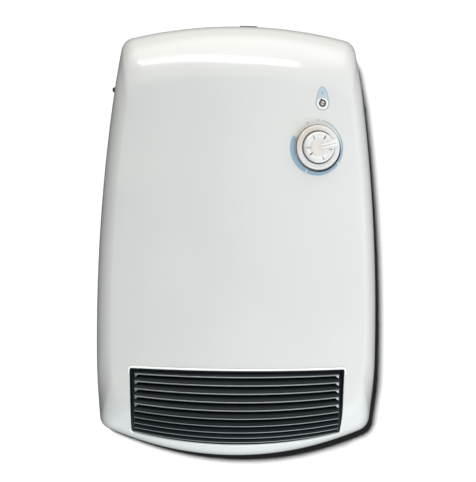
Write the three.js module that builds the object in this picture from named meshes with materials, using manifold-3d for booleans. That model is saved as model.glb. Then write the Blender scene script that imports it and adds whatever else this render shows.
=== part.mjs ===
// Bathroom wall fan heater: a barrel-shaped moulded cover over a wall plate that carries a
// cross-flow blower, a heating element, a thermostat with its knob, a neon lamp and the terminals.
// Millimetres. The wall is the plane y = 0, the front faces -Y, +X is right and +Z is up.
// "Depth" is the distance in front of the wall, so depth = -y.
import * as THREE from 'three';
import { mergeVertices } from 'three/addons/utils/BufferGeometryUtils.js';
import Module from 'manifold-3d';

const wasm = await Module();
wasm.setup();

// ---------------------------------------------------------------- driving dimensions

const GAP = 0.3; // clearance that neighbouring pieces keep
const MERGE_DISTANCE = 1e-4; // corners closer than this are one

// Cover: outline of barrel shape, gently bulged front, rolled edges.
const COVER_HALF_WIDTH = 139; // at its widest height
const COVER_WIDEST_Z = -80;
const COVER_SIDE_RADIUS = 1700;
const COVER_TOP_Z = 215;
const COVER_TOP_RADIUS = 500;
const COVER_BOTTOM_Z = -215;
const COVER_BOTTOM_RADIUS = 337;
const COVER_CORNER_RADIUS = 14;
const COVER_DEPTH = 128;
const COVER_BULGE_RADIUS = 380;
const COVER_WALL = 2.5;
const COVER_WALL_CLEARANCE = 1; // rear rim to the wall
const SIDE_ROLL_WIDTH = 16;
const SIDE_ROLL_DEPTH = 30;
const TOP_ROLL_HEIGHT = 55;
const TOP_ROLL_DEPTH = 50;
const BOTTOM_ROLL_HEIGHT = 52;
const BOTTOM_ROLL_DEPTH = 92;
const BOTTOM_FADE_RADIUS = 1000; // curve where the bottom roll meets the front
const INNER_CORNER_RADIUS = 30;
const LOW_BLEND_START = 10; // heights over the lowest point where the bottom roll becomes the side's
const LOW_BLEND_END = 95;
const TOP_BLEND_START = 65; // and under the highest point where the side's becomes the top roll
const TOP_BLEND_END = 10;

// Roof inlet slots of the cover.
const INLET_SLOT_COUNT = 19;
const INLET_SLOT_WIDTH = 4;
const INLET_SLOT_PITCH = 8.6;
const INLET_SLOT_LENGTH = 42;
const INLET_SLOT_REAR_DEPTH = 16;

// Outlet opening and its louvre grille.
const OUTLET_TOP_Z = -125.5;
const OUTLET_BOTTOM_Z = -199.5;
const OUTLET_TOP_HALF_WIDTH = 105.5;
const OUTLET_BOTTOM_HALF_WIDTH = 103.5;
const OUTLET_TOP_SAG = 1.8; // how much higher the opening's edges lie at their ends
const OUTLET_BOTTOM_SAG = 11;
const OUTLET_CORNER_RADIUS = 3;
const GRILLE_RECESS = 1.5; // louvre edges behind the cover's face
const GRILLE_THICKNESS = 12;
const GRILLE_FLANGE = 5;
const GRILLE_FLANGE_THICKNESS = 3;
const GRILLE_RAIL_WIDTH = 6.5;
const GRILLE_RAIL_RECESS = 3.5;
const LOUVRE_COUNT = 10;
const LOUVRE_FIRST = 6.6; // below the opening's top edge, along the face
const LOUVRE_PITCH = 8.16;
const LOUVRE_THICKNESS = 1.5;
const LOUVRE_RISE = 7; // rear edge higher than the front one, along the face
const LOUVRE_STEPS = 8; // stretches across the width

// Wall plate.
const PLATE_THICKNESS = 2.5;
const PLATE_RIM_HEIGHT = 11;
const PLATE_RIM_WALL = 2;
const BOSS_HEIGHT = 6;
const BOSS_RADIUS = 4.5;
const KEYHOLE_X = 90;
const KEYHOLE_Z = 150;
const KEYHOLE_HEAD_RADIUS = 5;
const KEYHOLE_SLOT_WIDTH = 5;
const KEYHOLE_SLOT_LENGTH = 11;
const FOOT_HOLE_X = 60;
const FOOT_HOLE_Z = -188;
const FOOT_HOLE_RADIUS = 2.5;
const CATCH_X = 9.5;
const CATCH_WIDTH = 18;
const CATCH_REAR_DEPTH = 64;
const CATCH_LENGTH = 9;
const CATCH_THICKNESS = 2;
const CATCH_PROUD = 0.8;

// Screws.
const SCREW_SHANK_RADIUS = 1.4;
const SCREW_HEAD_RADIUS = 2.8;
const SCREW_HEAD_HEIGHT = 1.8;
const SCREW_GRIP = 5; // length of shank in what it holds on to
const COVER_SCREW_Z = 152;
const COVER_SCREW_DEPTH = 62;
const COVER_SCREW_HEAD_RADIUS = 2.1;
const COVER_SCREW_HEAD_HEIGHT = 1.5;
const COVER_EAR_THICKNESS = 3; // ear of the wall plate that the screw bites into
const COVER_EAR_WIDTH = 14;
const LOW_HEAD_HEIGHT = 1.2;

// Sheet metal.
const SHEET = 1.5;
const FLANGE_WIDTH = 12;
const FOOT_SETBACK = 12; // upper foot screw below the drum's top
const FOOT_SPACING = 80;
const END_PLATE_MARGIN = 8;

// Cross-flow blower.
const DRUM_DEPTH = 60;
const DRUM_Z = -72;
const DRUM_RADIUS = 28;
const DRUM_SIDE_CLEARANCE = 29; // drum's free end to the cover's side
const SHAFT_SIDE_CLEARANCE = 18.8; // motor shaft's end to the cover's other side
const DRUM_DISC_THICKNESS = 1.5;
const DRUM_RUNNING_GAP = 4; // drum to the end plates
const BLADE_COUNT = 24;
const BLADE_CHORD = 7.5;
const BLADE_THICKNESS = 1.2;
const BLADE_TURN = 35; // degrees from the radius
const DUCT_SHEET = 1.2;
const SCROLL_GAP = 3; // drum to the scroll at its tightest
const SCROLL_GROWTH = 7; // what the scroll gains on the drum before it runs straight
const SCROLL_START = 140; // degrees about the drum's axis, 0 towards the front
const SCROLL_END = 215;
const TONGUE_START = -12;
const TONGUE_END = -40;
const DUCT_FLOOR_INSET = 4; // duct ends inside the outlet's edges
const DUCT_SETBACK = 5; // and behind the grille
const HUB_RADIUS = 7.7;
const HUB_LENGTH = 10;
const JOURNAL_LENGTH = 15;
const BEARING_RADIUS = 5;
const BEARING_RUBBER_RADIUS = 9.5;
const BEARING_RUBBER_LIP = 2.5;

// Motor.
const SHAFT_RADIUS = 3;
const STATOR_WIDTH = 48; // in depth
const STATOR_HEIGHT = 66;
const STATOR_STACK = 20;
const STATOR_LIMB = 10;
const MOTOR_FOOT_WIDTH = 6;
const ROTOR_RADIUS = 13;
const COIL_WIDTH = 27;
const COIL_LENGTH = 34;
const COIL_BUILD = 6; // winding over and under the limb
const MOTOR_BRIDGE_DEPTH = 8;
const MOTOR_BRIDGE_WIDTH = 16;
const MOTOR_STANDOFF = 4;
const MOTOR_BUSH_RADIUS = 6.5;
const COOLING_FAN_GAP = 2; // behind the motor's screw heads
const COOLING_FAN_RADIUS = 22;
const COOLING_FAN_LENGTH = 9;
const COOLING_FAN_HUB_RADIUS = 6;
const COOLING_BLADE_COUNT = 6;

// Heating element.
const HEATER_ALONG_DUCT = 52; // from the scroll's end of curve to the heater's middle
const HEATER_FRAME_HEIGHT = 43;
const HEATER_FRAME_THICKNESS = 12;
const HEATER_FRAME_WALL = 3;
const ELEMENT_RADIUS = 3;
const ELEMENT_PASSES = 4;
const ELEMENT_PITCH = 9;
const ELEMENT_BEND_STEPS = 6;
const CUTOUT_RADIUS = 7.5;
const CUTOUT_HEIGHT = 7;

// Thermostat, knob and lamp; places in the knob's own frame are along and up the cover's face.
const KNOB_X = 76.3;
const KNOB_Z = 93.2;
const KNOB_SKIRT_RADIUS = 22.5;
const KNOB_SKIRT_HEIGHT = 4.5;
const KNOB_CROWN_RADIUS = 15.8;
const KNOB_HEIGHT = 9;
const KNOB_STANDOFF = 0.8;
const KNOB_POINTER_WIDTH = 8;
const KNOB_POINTER_ANGLE = 15; // degrees above +X at rest
const KNOB_SOCKET_DEPTH = 6.5;
const KNOB_SPRING_WALL = 1.4;
const KNOB_SPRING_LENGTH = 4;
const BRACKET_SETBACK = 6;
const BRACKET_WIDTH = 48;
const BRACKET_BELOW = 26;
const BRACKET_ABOVE = 56;
const BRACKET_LEG_BELOW = 10;
const BRACKET_LEG_ABOVE = 40;
const THERMOSTAT_WIDTH = 36;
const THERMOSTAT_HEIGHT = 38;
const THERMOSTAT_LENGTH = 24;
const THERMOSTAT_SOCKET_DEPTH = 8;
const THERMOSTAT_SCREW_X = 14;
const THERMOSTAT_TAB_COUNT = 3;
const TAB_WIDTH = 6.3;
const TAB_THICKNESS = 0.8;
const TAB_LENGTH = 7;
const SPINDLE_COLLAR = 1;
const LAMP_X = 5.1;
const LAMP_Z = 43.6;
const LENS_RADIUS = 3.6;
const LENS_FLANGE = 1.4;
const LENS_PROUD = 0.7;
const LENS_DOME_SHARE = 0.7; // of its radius and height where the dome's flat top ends
const NEON_RADIUS = 3.1;
const NEON_LENGTH = 15;
const LAMP_HOLDER_WALL = 2;
const LAMP_HOLDER_LENGTH = 9;

// Mains connection on the left of the wall plate.
const TERMINAL_INSET = 63; // middle of the terminals to the cover's left side
const TERMINAL_Z = 96;
const TERMINAL_WIDTH = 42;
const TERMINAL_HEIGHT = 20;
const TERMINAL_DEPTH = 16;
const TERMINAL_POLES = 3;
const TERMINAL_PITCH = 12;
const TERMINAL_WELL_RADIUS = 3.1;
const TERMINAL_WELL_DEPTH = 8;
const CABLE_RADIUS = 4.5;
const ENTRY_Z = 34;
const GROMMET_RADIUS = 9;
const GROMMET_LIP = 2.5;
const GROMMET_LIP_THICKNESS = 2;

// Internal leads.
const LEAD_RADIUS = 1.2;

// ---------------------------------------------------------------- geometry helpers

const object = new THREE.Group();

function solidOf(geometry) {
  const bare = geometry.clone();
  bare.deleteAttribute('normal');
  bare.deleteAttribute('uv');
  const merged = mergeVertices(bare, MERGE_DISTANCE);
  return new wasm.Manifold(
    new wasm.Mesh({
      numProp: 3,
      vertProperties: Float32Array.from(merged.attributes.position.array),
      triVerts: Uint32Array.from(merged.index.array),
    })
  );
}

function geometryOf(solid) {
  const mesh = solid.getMesh();
  const geometry = new THREE.BufferGeometry();
  geometry.setAttribute('position', new THREE.BufferAttribute(new Float32Array(mesh.vertProperties), 3));
  geometry.setIndex(new THREE.BufferAttribute(new Uint32Array(mesh.triVerts), 1));
  geometry.computeVertexNormals();
  return geometry;
}

function union(...geometries) {
  return geometryOf(geometries.map(solidOf).reduce((whole, next) => whole.add(next)));
}

function cut(geometry, ...tools) {
  return geometryOf(tools.map(solidOf).reduce((rest, tool) => rest.subtract(tool), solidOf(geometry)));
}

function common(geometry, other) {
  return geometryOf(solidOf(geometry).intersect(solidOf(other)));
}

function meshOf(name, geometry, material, parent = object) {
  const mesh = new THREE.Mesh(geometry, material);
  mesh.name = name;
  parent.add(mesh);
  return mesh;
}

function boxBetween(xLow, xHigh, depthLow, depthHigh, zLow, zHigh) {
  const box = new THREE.BoxGeometry(xHigh - xLow, depthHigh - depthLow, zHigh - zLow);
  return box.translate((xLow + xHigh) / 2, -(depthLow + depthHigh) / 2, (zLow + zHigh) / 2);
}

// A cylinder that stands on the wall plane's normal, from one depth to another.
function rodInDepth(radius, x, z, depthLow, depthHigh, sides = 16) {
  const rod = new THREE.CylinderGeometry(radius, radius, depthHigh - depthLow, sides);
  return rod.translate(x, -(depthLow + depthHigh) / 2, z);
}

// A cylinder along X on a given line.
function rodAlongX(radius, xLow, xHigh, depth, z, sides = 16) {
  const rod = new THREE.CylinderGeometry(radius, radius, xHigh - xLow, sides).rotateZ(Math.PI / 2);
  return rod.translate((xLow + xHigh) / 2, -depth, z);
}

// A front-view shape (x, z) given thickness from one depth to another.
function extrudeForward(shape, depthLow, depthHigh, curveSegments = 8) {
  const options = { depth: depthHigh - depthLow, bevelEnabled: false, curveSegments };
  const geometry = new THREE.ExtrudeGeometry(shape, options);
  return geometry.rotateX(Math.PI / 2).translate(0, -depthLow, 0);
}

// A side-view shape (depth, z) given thickness from one x to another.
function extrudeAcross(points, xLow, xHigh) {
  const shape = new THREE.Shape(points);
  const geometry = new THREE.ExtrudeGeometry(shape, { depth: xHigh - xLow, bevelEnabled: false });
  const sideways = new THREE.Matrix4().makeBasis(
    new THREE.Vector3(0, -1, 0),
    new THREE.Vector3(0, 0, 1),
    new THREE.Vector3(-1, 0, 0)
  );
  return geometry.applyMatrix4(sideways).translate(xHigh, 0, 0);
}

// A closed ring profile (radius, height) turned about Y.
function turned(profile, sides = 16) {
  return new THREE.LatheGeometry(profile.map(([radius, y]) => new THREE.Vector2(radius, y)), sides);
}

// A strip of even thickness on one side of a side-view line.
function stripAlong(line, thickness) {
  const last = line.length - 1;
  const normals = line.slice(1).map((point, i) => {
    const along = point.clone().sub(line[i]).normalize();
    return new THREE.Vector2(along.y, -along.x);
  });
  const offset = line.map((point, i) => {
    const normal = normals[Math.min(i, last - 1)];
    const mitre = normals[Math.max(i - 1, 0)].clone().add(normal).normalize();
    return point.clone().addScaledVector(mitre, thickness / mitre.dot(normal));
  });
  return [...line, ...offset.reverse()];
}

// A path whose rings stand exactly at the points that it is given.
class PolylineCurve extends THREE.Curve {
  constructor(points) {
    super();
    this.points = points;
  }

  getPoint(t, target = new THREE.Vector3()) {
    const at = THREE.MathUtils.clamp(t, 0, 1) * (this.points.length - 1);
    const index = Math.min(Math.floor(at), this.points.length - 2);
    return target.lerpVectors(this.points[index], this.points[index + 1], at - index);
  }

  getPointAt(u, target) {
    return this.getPoint(u, target);
  }

  getTangentAt(u, target) {
    return this.getTangent(u, target);
  }
}

function tubeThrough(points, radius, sides = 8) {
  const corners = Array.from({ length: sides }, (_, i) => {
    const angle = (i / sides) * 2 * Math.PI;
    return new THREE.Vector2(radius * Math.cos(angle), radius * Math.sin(angle));
  });
  const extrudePath = new PolylineCurve(points);
  const steps = points.length - 1;
  return new THREE.ExtrudeGeometry(new THREE.Shape(corners), { steps, bevelEnabled: false, extrudePath });
}

// A pan-head screw on Y: its head's underside at y = 0, the head towards -Y.
function screw(
  length,
  shankRadius = SCREW_SHANK_RADIUS,
  headRadius = SCREW_HEAD_RADIUS,
  head = SCREW_HEAD_HEIGHT
) {
  return turned(
    [
      [0, -head],
      [headRadius, -head],
      [headRadius, 0],
      [shankRadius, 0],
      [shankRadius, length],
      [0, length],
    ],
    8
  );
}

// ---------------------------------------------------------------- cover

const OUTLINE_STEPS = { bottom: 6, corner: 3, side: 6, top: 6 };
const ROLL_RINGS = 5;
const FRONT_COLUMNS = 8;

const coverRim = {
  halfWidth: COVER_HALF_WIDTH,
  sideRadius: COVER_SIDE_RADIUS,
  topZ: COVER_TOP_Z,
  topRadius: COVER_TOP_RADIUS,
  bottomZ: COVER_BOTTOM_Z,
  bottomRadius: COVER_BOTTOM_RADIUS,
  corner: COVER_CORNER_RADIUS,
};

const frontEdge = {
  halfWidth: COVER_HALF_WIDTH - SIDE_ROLL_WIDTH,
  sideRadius: COVER_SIDE_RADIUS - SIDE_ROLL_WIDTH,
  topZ: COVER_TOP_Z - TOP_ROLL_HEIGHT,
  topRadius: COVER_TOP_RADIUS - TOP_ROLL_HEIGHT,
  bottomZ: COVER_BOTTOM_Z + BOTTOM_ROLL_HEIGHT,
  bottomRadius: BOTTOM_FADE_RADIUS,
  corner: INNER_CORNER_RADIUS,
};

function insetOutline(outline, inset) {
  return {
    halfWidth: outline.halfWidth - inset,
    sideRadius: outline.sideRadius - inset,
    topZ: outline.topZ - inset,
    topRadius: outline.topRadius - inset,
    bottomZ: outline.bottomZ + inset,
    bottomRadius: outline.bottomRadius - inset,
    corner: Math.max(outline.corner - inset, GAP),
  };
}

// The point right of the Z axis where two circles meet, on the named vertical side.
function circlesMeet(centreA, radiusA, centreB, radiusB, upper) {
  const between = centreB.clone().sub(centreA);
  const distance = between.length();
  const along = (radiusA ** 2 - radiusB ** 2 + distance ** 2) / (2 * distance);
  const across = Math.sqrt(radiusA ** 2 - along ** 2);
  const unit = between.divideScalar(distance);
  const foot = centreA.clone().addScaledVector(unit, along);
  const normal = new THREE.Vector2(-unit.y, unit.x).multiplyScalar(across);
  const first = foot.clone().add(normal);
  const second = foot.clone().sub(normal);
  return first.y > second.y === upper ? first : second;
}

function arcPoints(centre, radius, from, to, steps) {
  return Array.from({ length: steps }, (_, i) => {
    const angle = from + ((to - from) * i) / steps;
    return new THREE.Vector2(centre.x + radius * Math.cos(angle), centre.y + radius * Math.sin(angle));
  });
}

// Right half of an outline from the lowest point to the highest; roll is 0 at the bottom,
// 1 on the side and 2 at the top, and runs smoothly between them near the corners.
function halfOutline(outline) {
  const sideCentre = new THREE.Vector2(outline.halfWidth - outline.sideRadius, COVER_WIDEST_Z);
  const topCentre = new THREE.Vector2(0, outline.topZ - outline.topRadius);
  const bottomCentre = new THREE.Vector2(0, outline.bottomZ + outline.bottomRadius);
  const sideReach = outline.sideRadius - outline.corner;
  const topReach = outline.topRadius - outline.corner;
  const bottomReach = outline.bottomRadius - outline.corner;
  const lowCorner = circlesMeet(sideCentre, sideReach, bottomCentre, bottomReach, false);
  const highCorner = circlesMeet(sideCentre, sideReach, topCentre, topReach, true);
  const angleFrom = (centre, point) => Math.atan2(point.y - centre.y, point.x - centre.x);
  const low = angleFrom(bottomCentre, lowCorner);
  const sideLow = angleFrom(sideCentre, lowCorner);
  const sideHigh = angleFrom(sideCentre, highCorner);
  const high = angleFrom(topCentre, highCorner);
  const steps = OUTLINE_STEPS;
  const down = -Math.PI / 2;
  const points = [
    ...arcPoints(bottomCentre, outline.bottomRadius, down, low, steps.bottom),
    ...arcPoints(lowCorner, outline.corner, low, sideLow, steps.corner),
    ...arcPoints(sideCentre, outline.sideRadius, sideLow, sideHigh, steps.side),
    ...arcPoints(highCorner, outline.corner, sideHigh, high, steps.corner),
    ...arcPoints(topCentre, outline.topRadius, high, -down, steps.top),
    new THREE.Vector2(0, outline.topZ),
  ];
  points[0].x = 0;
  const roll = points.map(({ y }) => {
    const over = y - outline.bottomZ;
    const under = outline.topZ - y;
    const fromBottom = THREE.MathUtils.smoothstep(over, LOW_BLEND_START, LOW_BLEND_END);
    const belowTop = THREE.MathUtils.smoothstep(under, TOP_BLEND_END, TOP_BLEND_START);
    return fromBottom + 1 - belowTop;
  });
  return { points, roll };
}

function rollDepthAt(roll) {
  const low = THREE.MathUtils.lerp(BOTTOM_ROLL_DEPTH, SIDE_ROLL_DEPTH, Math.min(roll, 1));
  return roll <= 1 ? low : THREE.MathUtils.lerp(SIDE_ROLL_DEPTH, TOP_ROLL_DEPTH, roll - 1);
}

function frontDepthAt(x) {
  return COVER_DEPTH - x ** 2 / (2 * COVER_BULGE_RADIUS);
}

// The solid inside the cover's face set back by an inset, from one depth forwards.
function coverSolid(inset, rearDepth) {
  const rim = halfOutline(insetOutline(coverRim, inset));
  const edge = halfOutline(frontEdge);
  const last = rim.points.length - 1;
  const count = 2 * last;
  const positions = [];
  const indices = [];
  const addPoint = (x, depth, z) => positions.push(x, -depth, z);
  const ringPoint = (i, turn) => {
    const side = i <= last ? 1 : -1;
    const at = i <= last ? i : count - i;
    const blend = 1 - Math.cos(turn);
    const point = rim.points[at].clone().lerp(edge.points[at], blend);
    const drop = (rollDepthAt(rim.roll[at]) - inset) * (1 - Math.sin(turn));
    return [side * point.x, frontDepthAt(point.x) - inset - drop, point.y];
  };
  for (let i = 0; i < count; i += 1) {
    const [x, , z] = ringPoint(i, 0);
    addPoint(x, rearDepth, z);
  }
  for (let ring = 0; ring <= ROLL_RINGS; ring += 1) {
    const turn = (ring / ROLL_RINGS) * (Math.PI / 2);
    for (let i = 0; i < count; i += 1) {
      addPoint(...ringPoint(i, turn));
    }
  }
  for (let ring = 0; ring <= ROLL_RINGS; ring += 1) {
    for (let i = 0; i < count; i += 1) {
      const next = (i + 1) % count;
      const near = ring * count;
      const far = near + count;
      indices.push(near + i, near + next, far + next);
      indices.push(near + i, far + next, far + i);
    }
  }
  const mirror = (i) => (count - i) % count;
  const addRows = (base, columns, depthOf, facesFront) => {
    const rowOf = (i) => {
      if (i === 0 || i === last) {
        return [base + i];
      }
      const right = edgeRowPoint(base, i);
      const inner = [];
      for (let column = 1; column < columns; column += 1) {
        const x = right.x * ((2 * column) / columns - 1);
        inner.push(positions.length / 3);
        addPoint(x, depthOf(x), right.z);
      }
      return [base + mirror(i), ...inner, base + i];
    };
    const edgeRowPoint = (start, i) => ({
      x: positions[3 * (start + i)],
      z: positions[3 * (start + i) + 2],
    });
    const rows = Array.from({ length: last + 1 }, (_, i) => rowOf(i));
    const addFace = (a, b, c) => indices.push(...(facesFront ? [a, b, c] : [a, c, b]));
    rows.slice(1).forEach((upper, i) => {
      const lower = rows[i];
      const spans = Math.max(upper.length, lower.length) - 1;
      for (let column = 0; column < spans; column += 1) {
        const low = [column, column + 1].map((c) => lower[Math.min(c, lower.length - 1)]);
        const high = [column, column + 1].map((c) => upper[Math.min(c, upper.length - 1)]);
        if (low[0] !== low[1]) {
          addFace(low[0], low[1], high[1]);
        }
        if (high[0] !== high[1]) {
          addFace(low[0], high[1], high[0]);
        }
      }
    });
  };
  addRows((ROLL_RINGS + 1) * count, FRONT_COLUMNS, (x) => frontDepthAt(x) - inset, true);
  addRows(0, 1, () => rearDepth, false);
  const geometry = new THREE.BufferGeometry();
  geometry.setAttribute('position', new THREE.Float32BufferAttribute(positions, 3));
  geometry.setIndex(indices);
  return geometry;
}

// The outlet's edges are parabolas, drawn as quadratic curves between small rounded corners.
function outletShape(grow) {
  const radius = OUTLET_CORNER_RADIUS;
  const topHalf = OUTLET_TOP_HALF_WIDTH + grow;
  const bottomHalf = OUTLET_BOTTOM_HALF_WIDTH + grow;
  const topZ = OUTLET_TOP_Z + grow;
  const bottomZ = OUTLET_BOTTOM_Z - grow;
  const topRise = OUTLET_TOP_SAG * ((topHalf - radius) / topHalf) ** 2;
  const bottomRise = OUTLET_BOTTOM_SAG * ((bottomHalf - radius) / bottomHalf) ** 2;
  const topCorner = topZ + OUTLET_TOP_SAG;
  const bottomCorner = bottomZ + OUTLET_BOTTOM_SAG;
  const shape = new THREE.Shape();
  shape.moveTo(-bottomHalf + radius, bottomZ + bottomRise);
  shape.quadraticCurveTo(0, bottomZ - bottomRise, bottomHalf - radius, bottomZ + bottomRise);
  shape.quadraticCurveTo(bottomHalf, bottomCorner, bottomHalf, bottomCorner + radius);
  shape.lineTo(topHalf, topCorner - radius);
  shape.quadraticCurveTo(topHalf, topCorner, topHalf - radius, topZ + topRise);
  shape.quadraticCurveTo(0, topZ - topRise, -topHalf + radius, topZ + topRise);
  shape.quadraticCurveTo(-topHalf, topCorner, -topHalf, topCorner - radius);
  shape.lineTo(-bottomHalf, bottomCorner + radius);
  shape.quadraticCurveTo(-bottomHalf, bottomCorner, -bottomHalf + radius, bottomZ + bottomRise);
  return shape;
}

function outletPrism(grow) {
  return extrudeForward(outletShape(grow), BOTTOM_ROLL_DEPTH / 2, COVER_DEPTH + GRILLE_THICKNESS);
}

// The knob's own frame: its origin on the cover's face, -Y straight out of the face.
const knobTilt = Math.asin(KNOB_X / COVER_BULGE_RADIUS);
const knobFrame = new THREE.Matrix4()
  .makeRotationZ(knobTilt)
  .setPosition(KNOB_X, -frontDepthAt(KNOB_X), KNOB_Z);

function rodInKnobFrame(radius, x, z, inLow, inHigh, sides = 16) {
  const rod = new THREE.CylinderGeometry(radius, radius, inHigh - inLow, sides);
  return rod.translate(x, (inLow + inHigh) / 2, z);
}

const spindleHoleRadius = SHAFT_RADIUS + SPINDLE_COLLAR + GAP;
const lensHoleRadius = LENS_RADIUS + GAP;
const catchBox = (side, rise) =>
  boxBetween(
    CATCH_X - CATCH_WIDTH / 2 - side,
    CATCH_X + CATCH_WIDTH / 2 + side,
    CATCH_REAR_DEPTH - side,
    CATCH_REAR_DEPTH + CATCH_LENGTH + side,
    COVER_TOP_Z - COVER_WALL - CATCH_THICKNESS - GAP,
    COVER_TOP_Z + rise
  );

function sideXAt(z) {
  return COVER_HALF_WIDTH - COVER_SIDE_RADIUS + Math.sqrt(COVER_SIDE_RADIUS ** 2 - (z - COVER_WIDEST_Z) ** 2);
}

function inletSlots() {
  const first = (-(INLET_SLOT_COUNT - 1) * INLET_SLOT_PITCH) / 2;
  return Array.from({ length: INLET_SLOT_COUNT }, (_, i) => {
    const x = first + i * INLET_SLOT_PITCH;
    const roofZ = COVER_TOP_Z - COVER_TOP_RADIUS + Math.sqrt(COVER_TOP_RADIUS ** 2 - x ** 2);
    return boxBetween(
      x - INLET_SLOT_WIDTH / 2,
      x + INLET_SLOT_WIDTH / 2,
      INLET_SLOT_REAR_DEPTH,
      INLET_SLOT_REAR_DEPTH + INLET_SLOT_LENGTH,
      roofZ - 3 * COVER_WALL,
      roofZ + COVER_WALL
    );
  });
}

const whitePlastic = new THREE.MeshStandardMaterial({ color: 0xeceeec, roughness: 0.22, metalness: 0 });

function frontCover() {
  const holeDepth = 3 * COVER_WALL;
  const screwX = sideXAt(COVER_SCREW_Z);
  const screwHole = rodAlongX(
    SCREW_SHANK_RADIUS + GAP,
    -screwX - COVER_WALL,
    screwX + COVER_WALL,
    COVER_SCREW_DEPTH,
    COVER_SCREW_Z,
    10
  );
  return cut(
    coverSolid(0, COVER_WALL_CLEARANCE),
    coverSolid(COVER_WALL, -COVER_WALL),
    outletPrism(0),
    rodInKnobFrame(spindleHoleRadius, 0, 0, -holeDepth, holeDepth).applyMatrix4(knobFrame),
    rodInKnobFrame(lensHoleRadius, LAMP_X, LAMP_Z, -holeDepth, holeDepth).applyMatrix4(knobFrame),
    catchBox(GAP, COVER_WALL),
    screwHole,
    ...inletSlots()
  );
}

meshOf('front_casing', frontCover(), whitePlastic);

// ---------------------------------------------------------------- outlet grille

const darkPlastic = new THREE.MeshStandardMaterial({ color: 0x2b3236, roughness: 0.5, metalness: 0 });

// The face line at mid width, from the straight front into the bottom roll's quarter ellipse.
const faceLine = new THREE.CurvePath();
const rollTopZ = COVER_BOTTOM_Z + BOTTOM_ROLL_HEIGHT;
faceLine.add(
  new THREE.LineCurve(
    new THREE.Vector2(COVER_DEPTH, OUTLET_TOP_Z + LOUVRE_RISE),
    new THREE.Vector2(COVER_DEPTH, rollTopZ)
  )
);
faceLine.add(
  new THREE.EllipseCurve(
    COVER_DEPTH - BOTTOM_ROLL_DEPTH,
    rollTopZ,
    BOTTOM_ROLL_DEPTH,
    BOTTOM_ROLL_HEIGHT,
    0,
    -Math.PI / 2,
    true
  )
);

const outletSagAt = (z) =>
  THREE.MathUtils.mapLinear(z, OUTLET_TOP_Z, OUTLET_BOTTOM_Z, OUTLET_TOP_SAG, OUTLET_BOTTOM_SAG);

// A bar with a four-cornered section (depth, z) given at each station across the width.
function barAcross(stations) {
  const positions = stations.flatMap(({ x, section }) => section.flatMap(([depth, z]) => [x, -depth, z]));
  const indices = [];
  for (let far = 4; far < 4 * stations.length; far += 4) {
    for (let corner = 0; corner < 4; corner += 1) {
      const next = (corner + 1) % 4;
      indices.push(far - 4 + corner, far + corner, far + next);
      indices.push(far - 4 + corner, far + next, far - 4 + next);
    }
  }
  const end = 4 * (stations.length - 1);
  indices.push(0, 1, 2, 0, 2, 3, end, end + 2, end + 1, end, end + 3, end + 2);
  const geometry = new THREE.BufferGeometry();
  geometry.setAttribute('position', new THREE.Float32BufferAttribute(positions, 3));
  geometry.setIndex(indices);
  return geometry;
}

const railInnerX = OUTLET_BOTTOM_HALF_WIDTH - GRILLE_RAIL_WIDTH;

// One sloping louvre: its front edge follows the cover's face across the width.
function louvreBlade(index) {
  const rearDistance = LOUVRE_FIRST + index * LOUVRE_PITCH;
  const front = faceLine.getPoint((rearDistance + LOUVRE_RISE) / faceLine.getLength());
  const rear = faceLine.getPoint(rearDistance / faceLine.getLength());
  const sag = outletSagAt(front.y);
  const halfWidth = railInnerX + GRILLE_RAIL_WIDTH / 3;
  const stations = Array.from({ length: LOUVRE_STEPS + 1 }, (_, i) => {
    const x = halfWidth * ((2 * i) / LOUVRE_STEPS - 1);
    const setBack = COVER_DEPTH - frontDepthAt(x) + GRILLE_RECESS;
    const rise = sag * (x / OUTLET_TOP_HALF_WIDTH) ** 2;
    const section = [
      [front.x - setBack, front.y + rise - LOUVRE_THICKNESS / 2],
      [front.x - setBack, front.y + rise + LOUVRE_THICKNESS / 2],
      [rear.x - setBack - GRILLE_THICKNESS, rear.y + rise + LOUVRE_THICKNESS / 2],
      [rear.x - setBack - GRILLE_THICKNESS, rear.y + rise - LOUVRE_THICKNESS / 2],
    ];
    return { x, section };
  });
  return barAcross(stations);
}

// A layer under the cover's face, from one inset back by a thickness measured in depth.
function faceLayer(inset, thickness) {
  const front = coverSolid(inset, BOTTOM_ROLL_DEPTH / 2);
  const back = coverSolid(inset, -COVER_DEPTH).translate(0, thickness, 0);
  return cut(front, back);
}

function outletGrille() {
  const seatInset = COVER_WALL + GAP;
  const flangeLayer = cut(
    coverSolid(seatInset, BOTTOM_ROLL_DEPTH / 4),
    coverSolid(seatInset + GRILLE_FLANGE_THICKNESS, -COVER_DEPTH)
  );
  const flangeWindow = outletPrism(-GRILLE_FLANGE_THICKNESS / 2);
  const flange = cut(common(flangeLayer, outletPrism(GRILLE_FLANGE)), flangeWindow);
  const between = boxBetween(-railInnerX, railInnerX, 0, 2 * COVER_DEPTH, 2 * OUTLET_BOTTOM_Z, 0);
  const railLayer = faceLayer(GRILLE_RAIL_RECESS, GRILLE_THICKNESS);
  const rails = cut(common(railLayer, outletPrism(-GAP)), between);
  const blades = Array.from({ length: LOUVRE_COUNT }, (_, i) => louvreBlade(i));
  return union(flange, rails, ...blades);
}

meshOf('outlet_grille', outletGrille(), darkPlastic);

// ---------------------------------------------------------------- places on the wall plate

const galvanised = new THREE.MeshStandardMaterial({ color: 0xb4b9bc, roughness: 0.42, metalness: 0.9 });
const zincScrew = new THREE.MeshStandardMaterial({ color: 0xc9c6b8, roughness: 0.35, metalness: 0.95 });
const greyPlastic = new THREE.MeshStandardMaterial({ color: 0xd2d5d4, roughness: 0.55, metalness: 0 });

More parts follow.
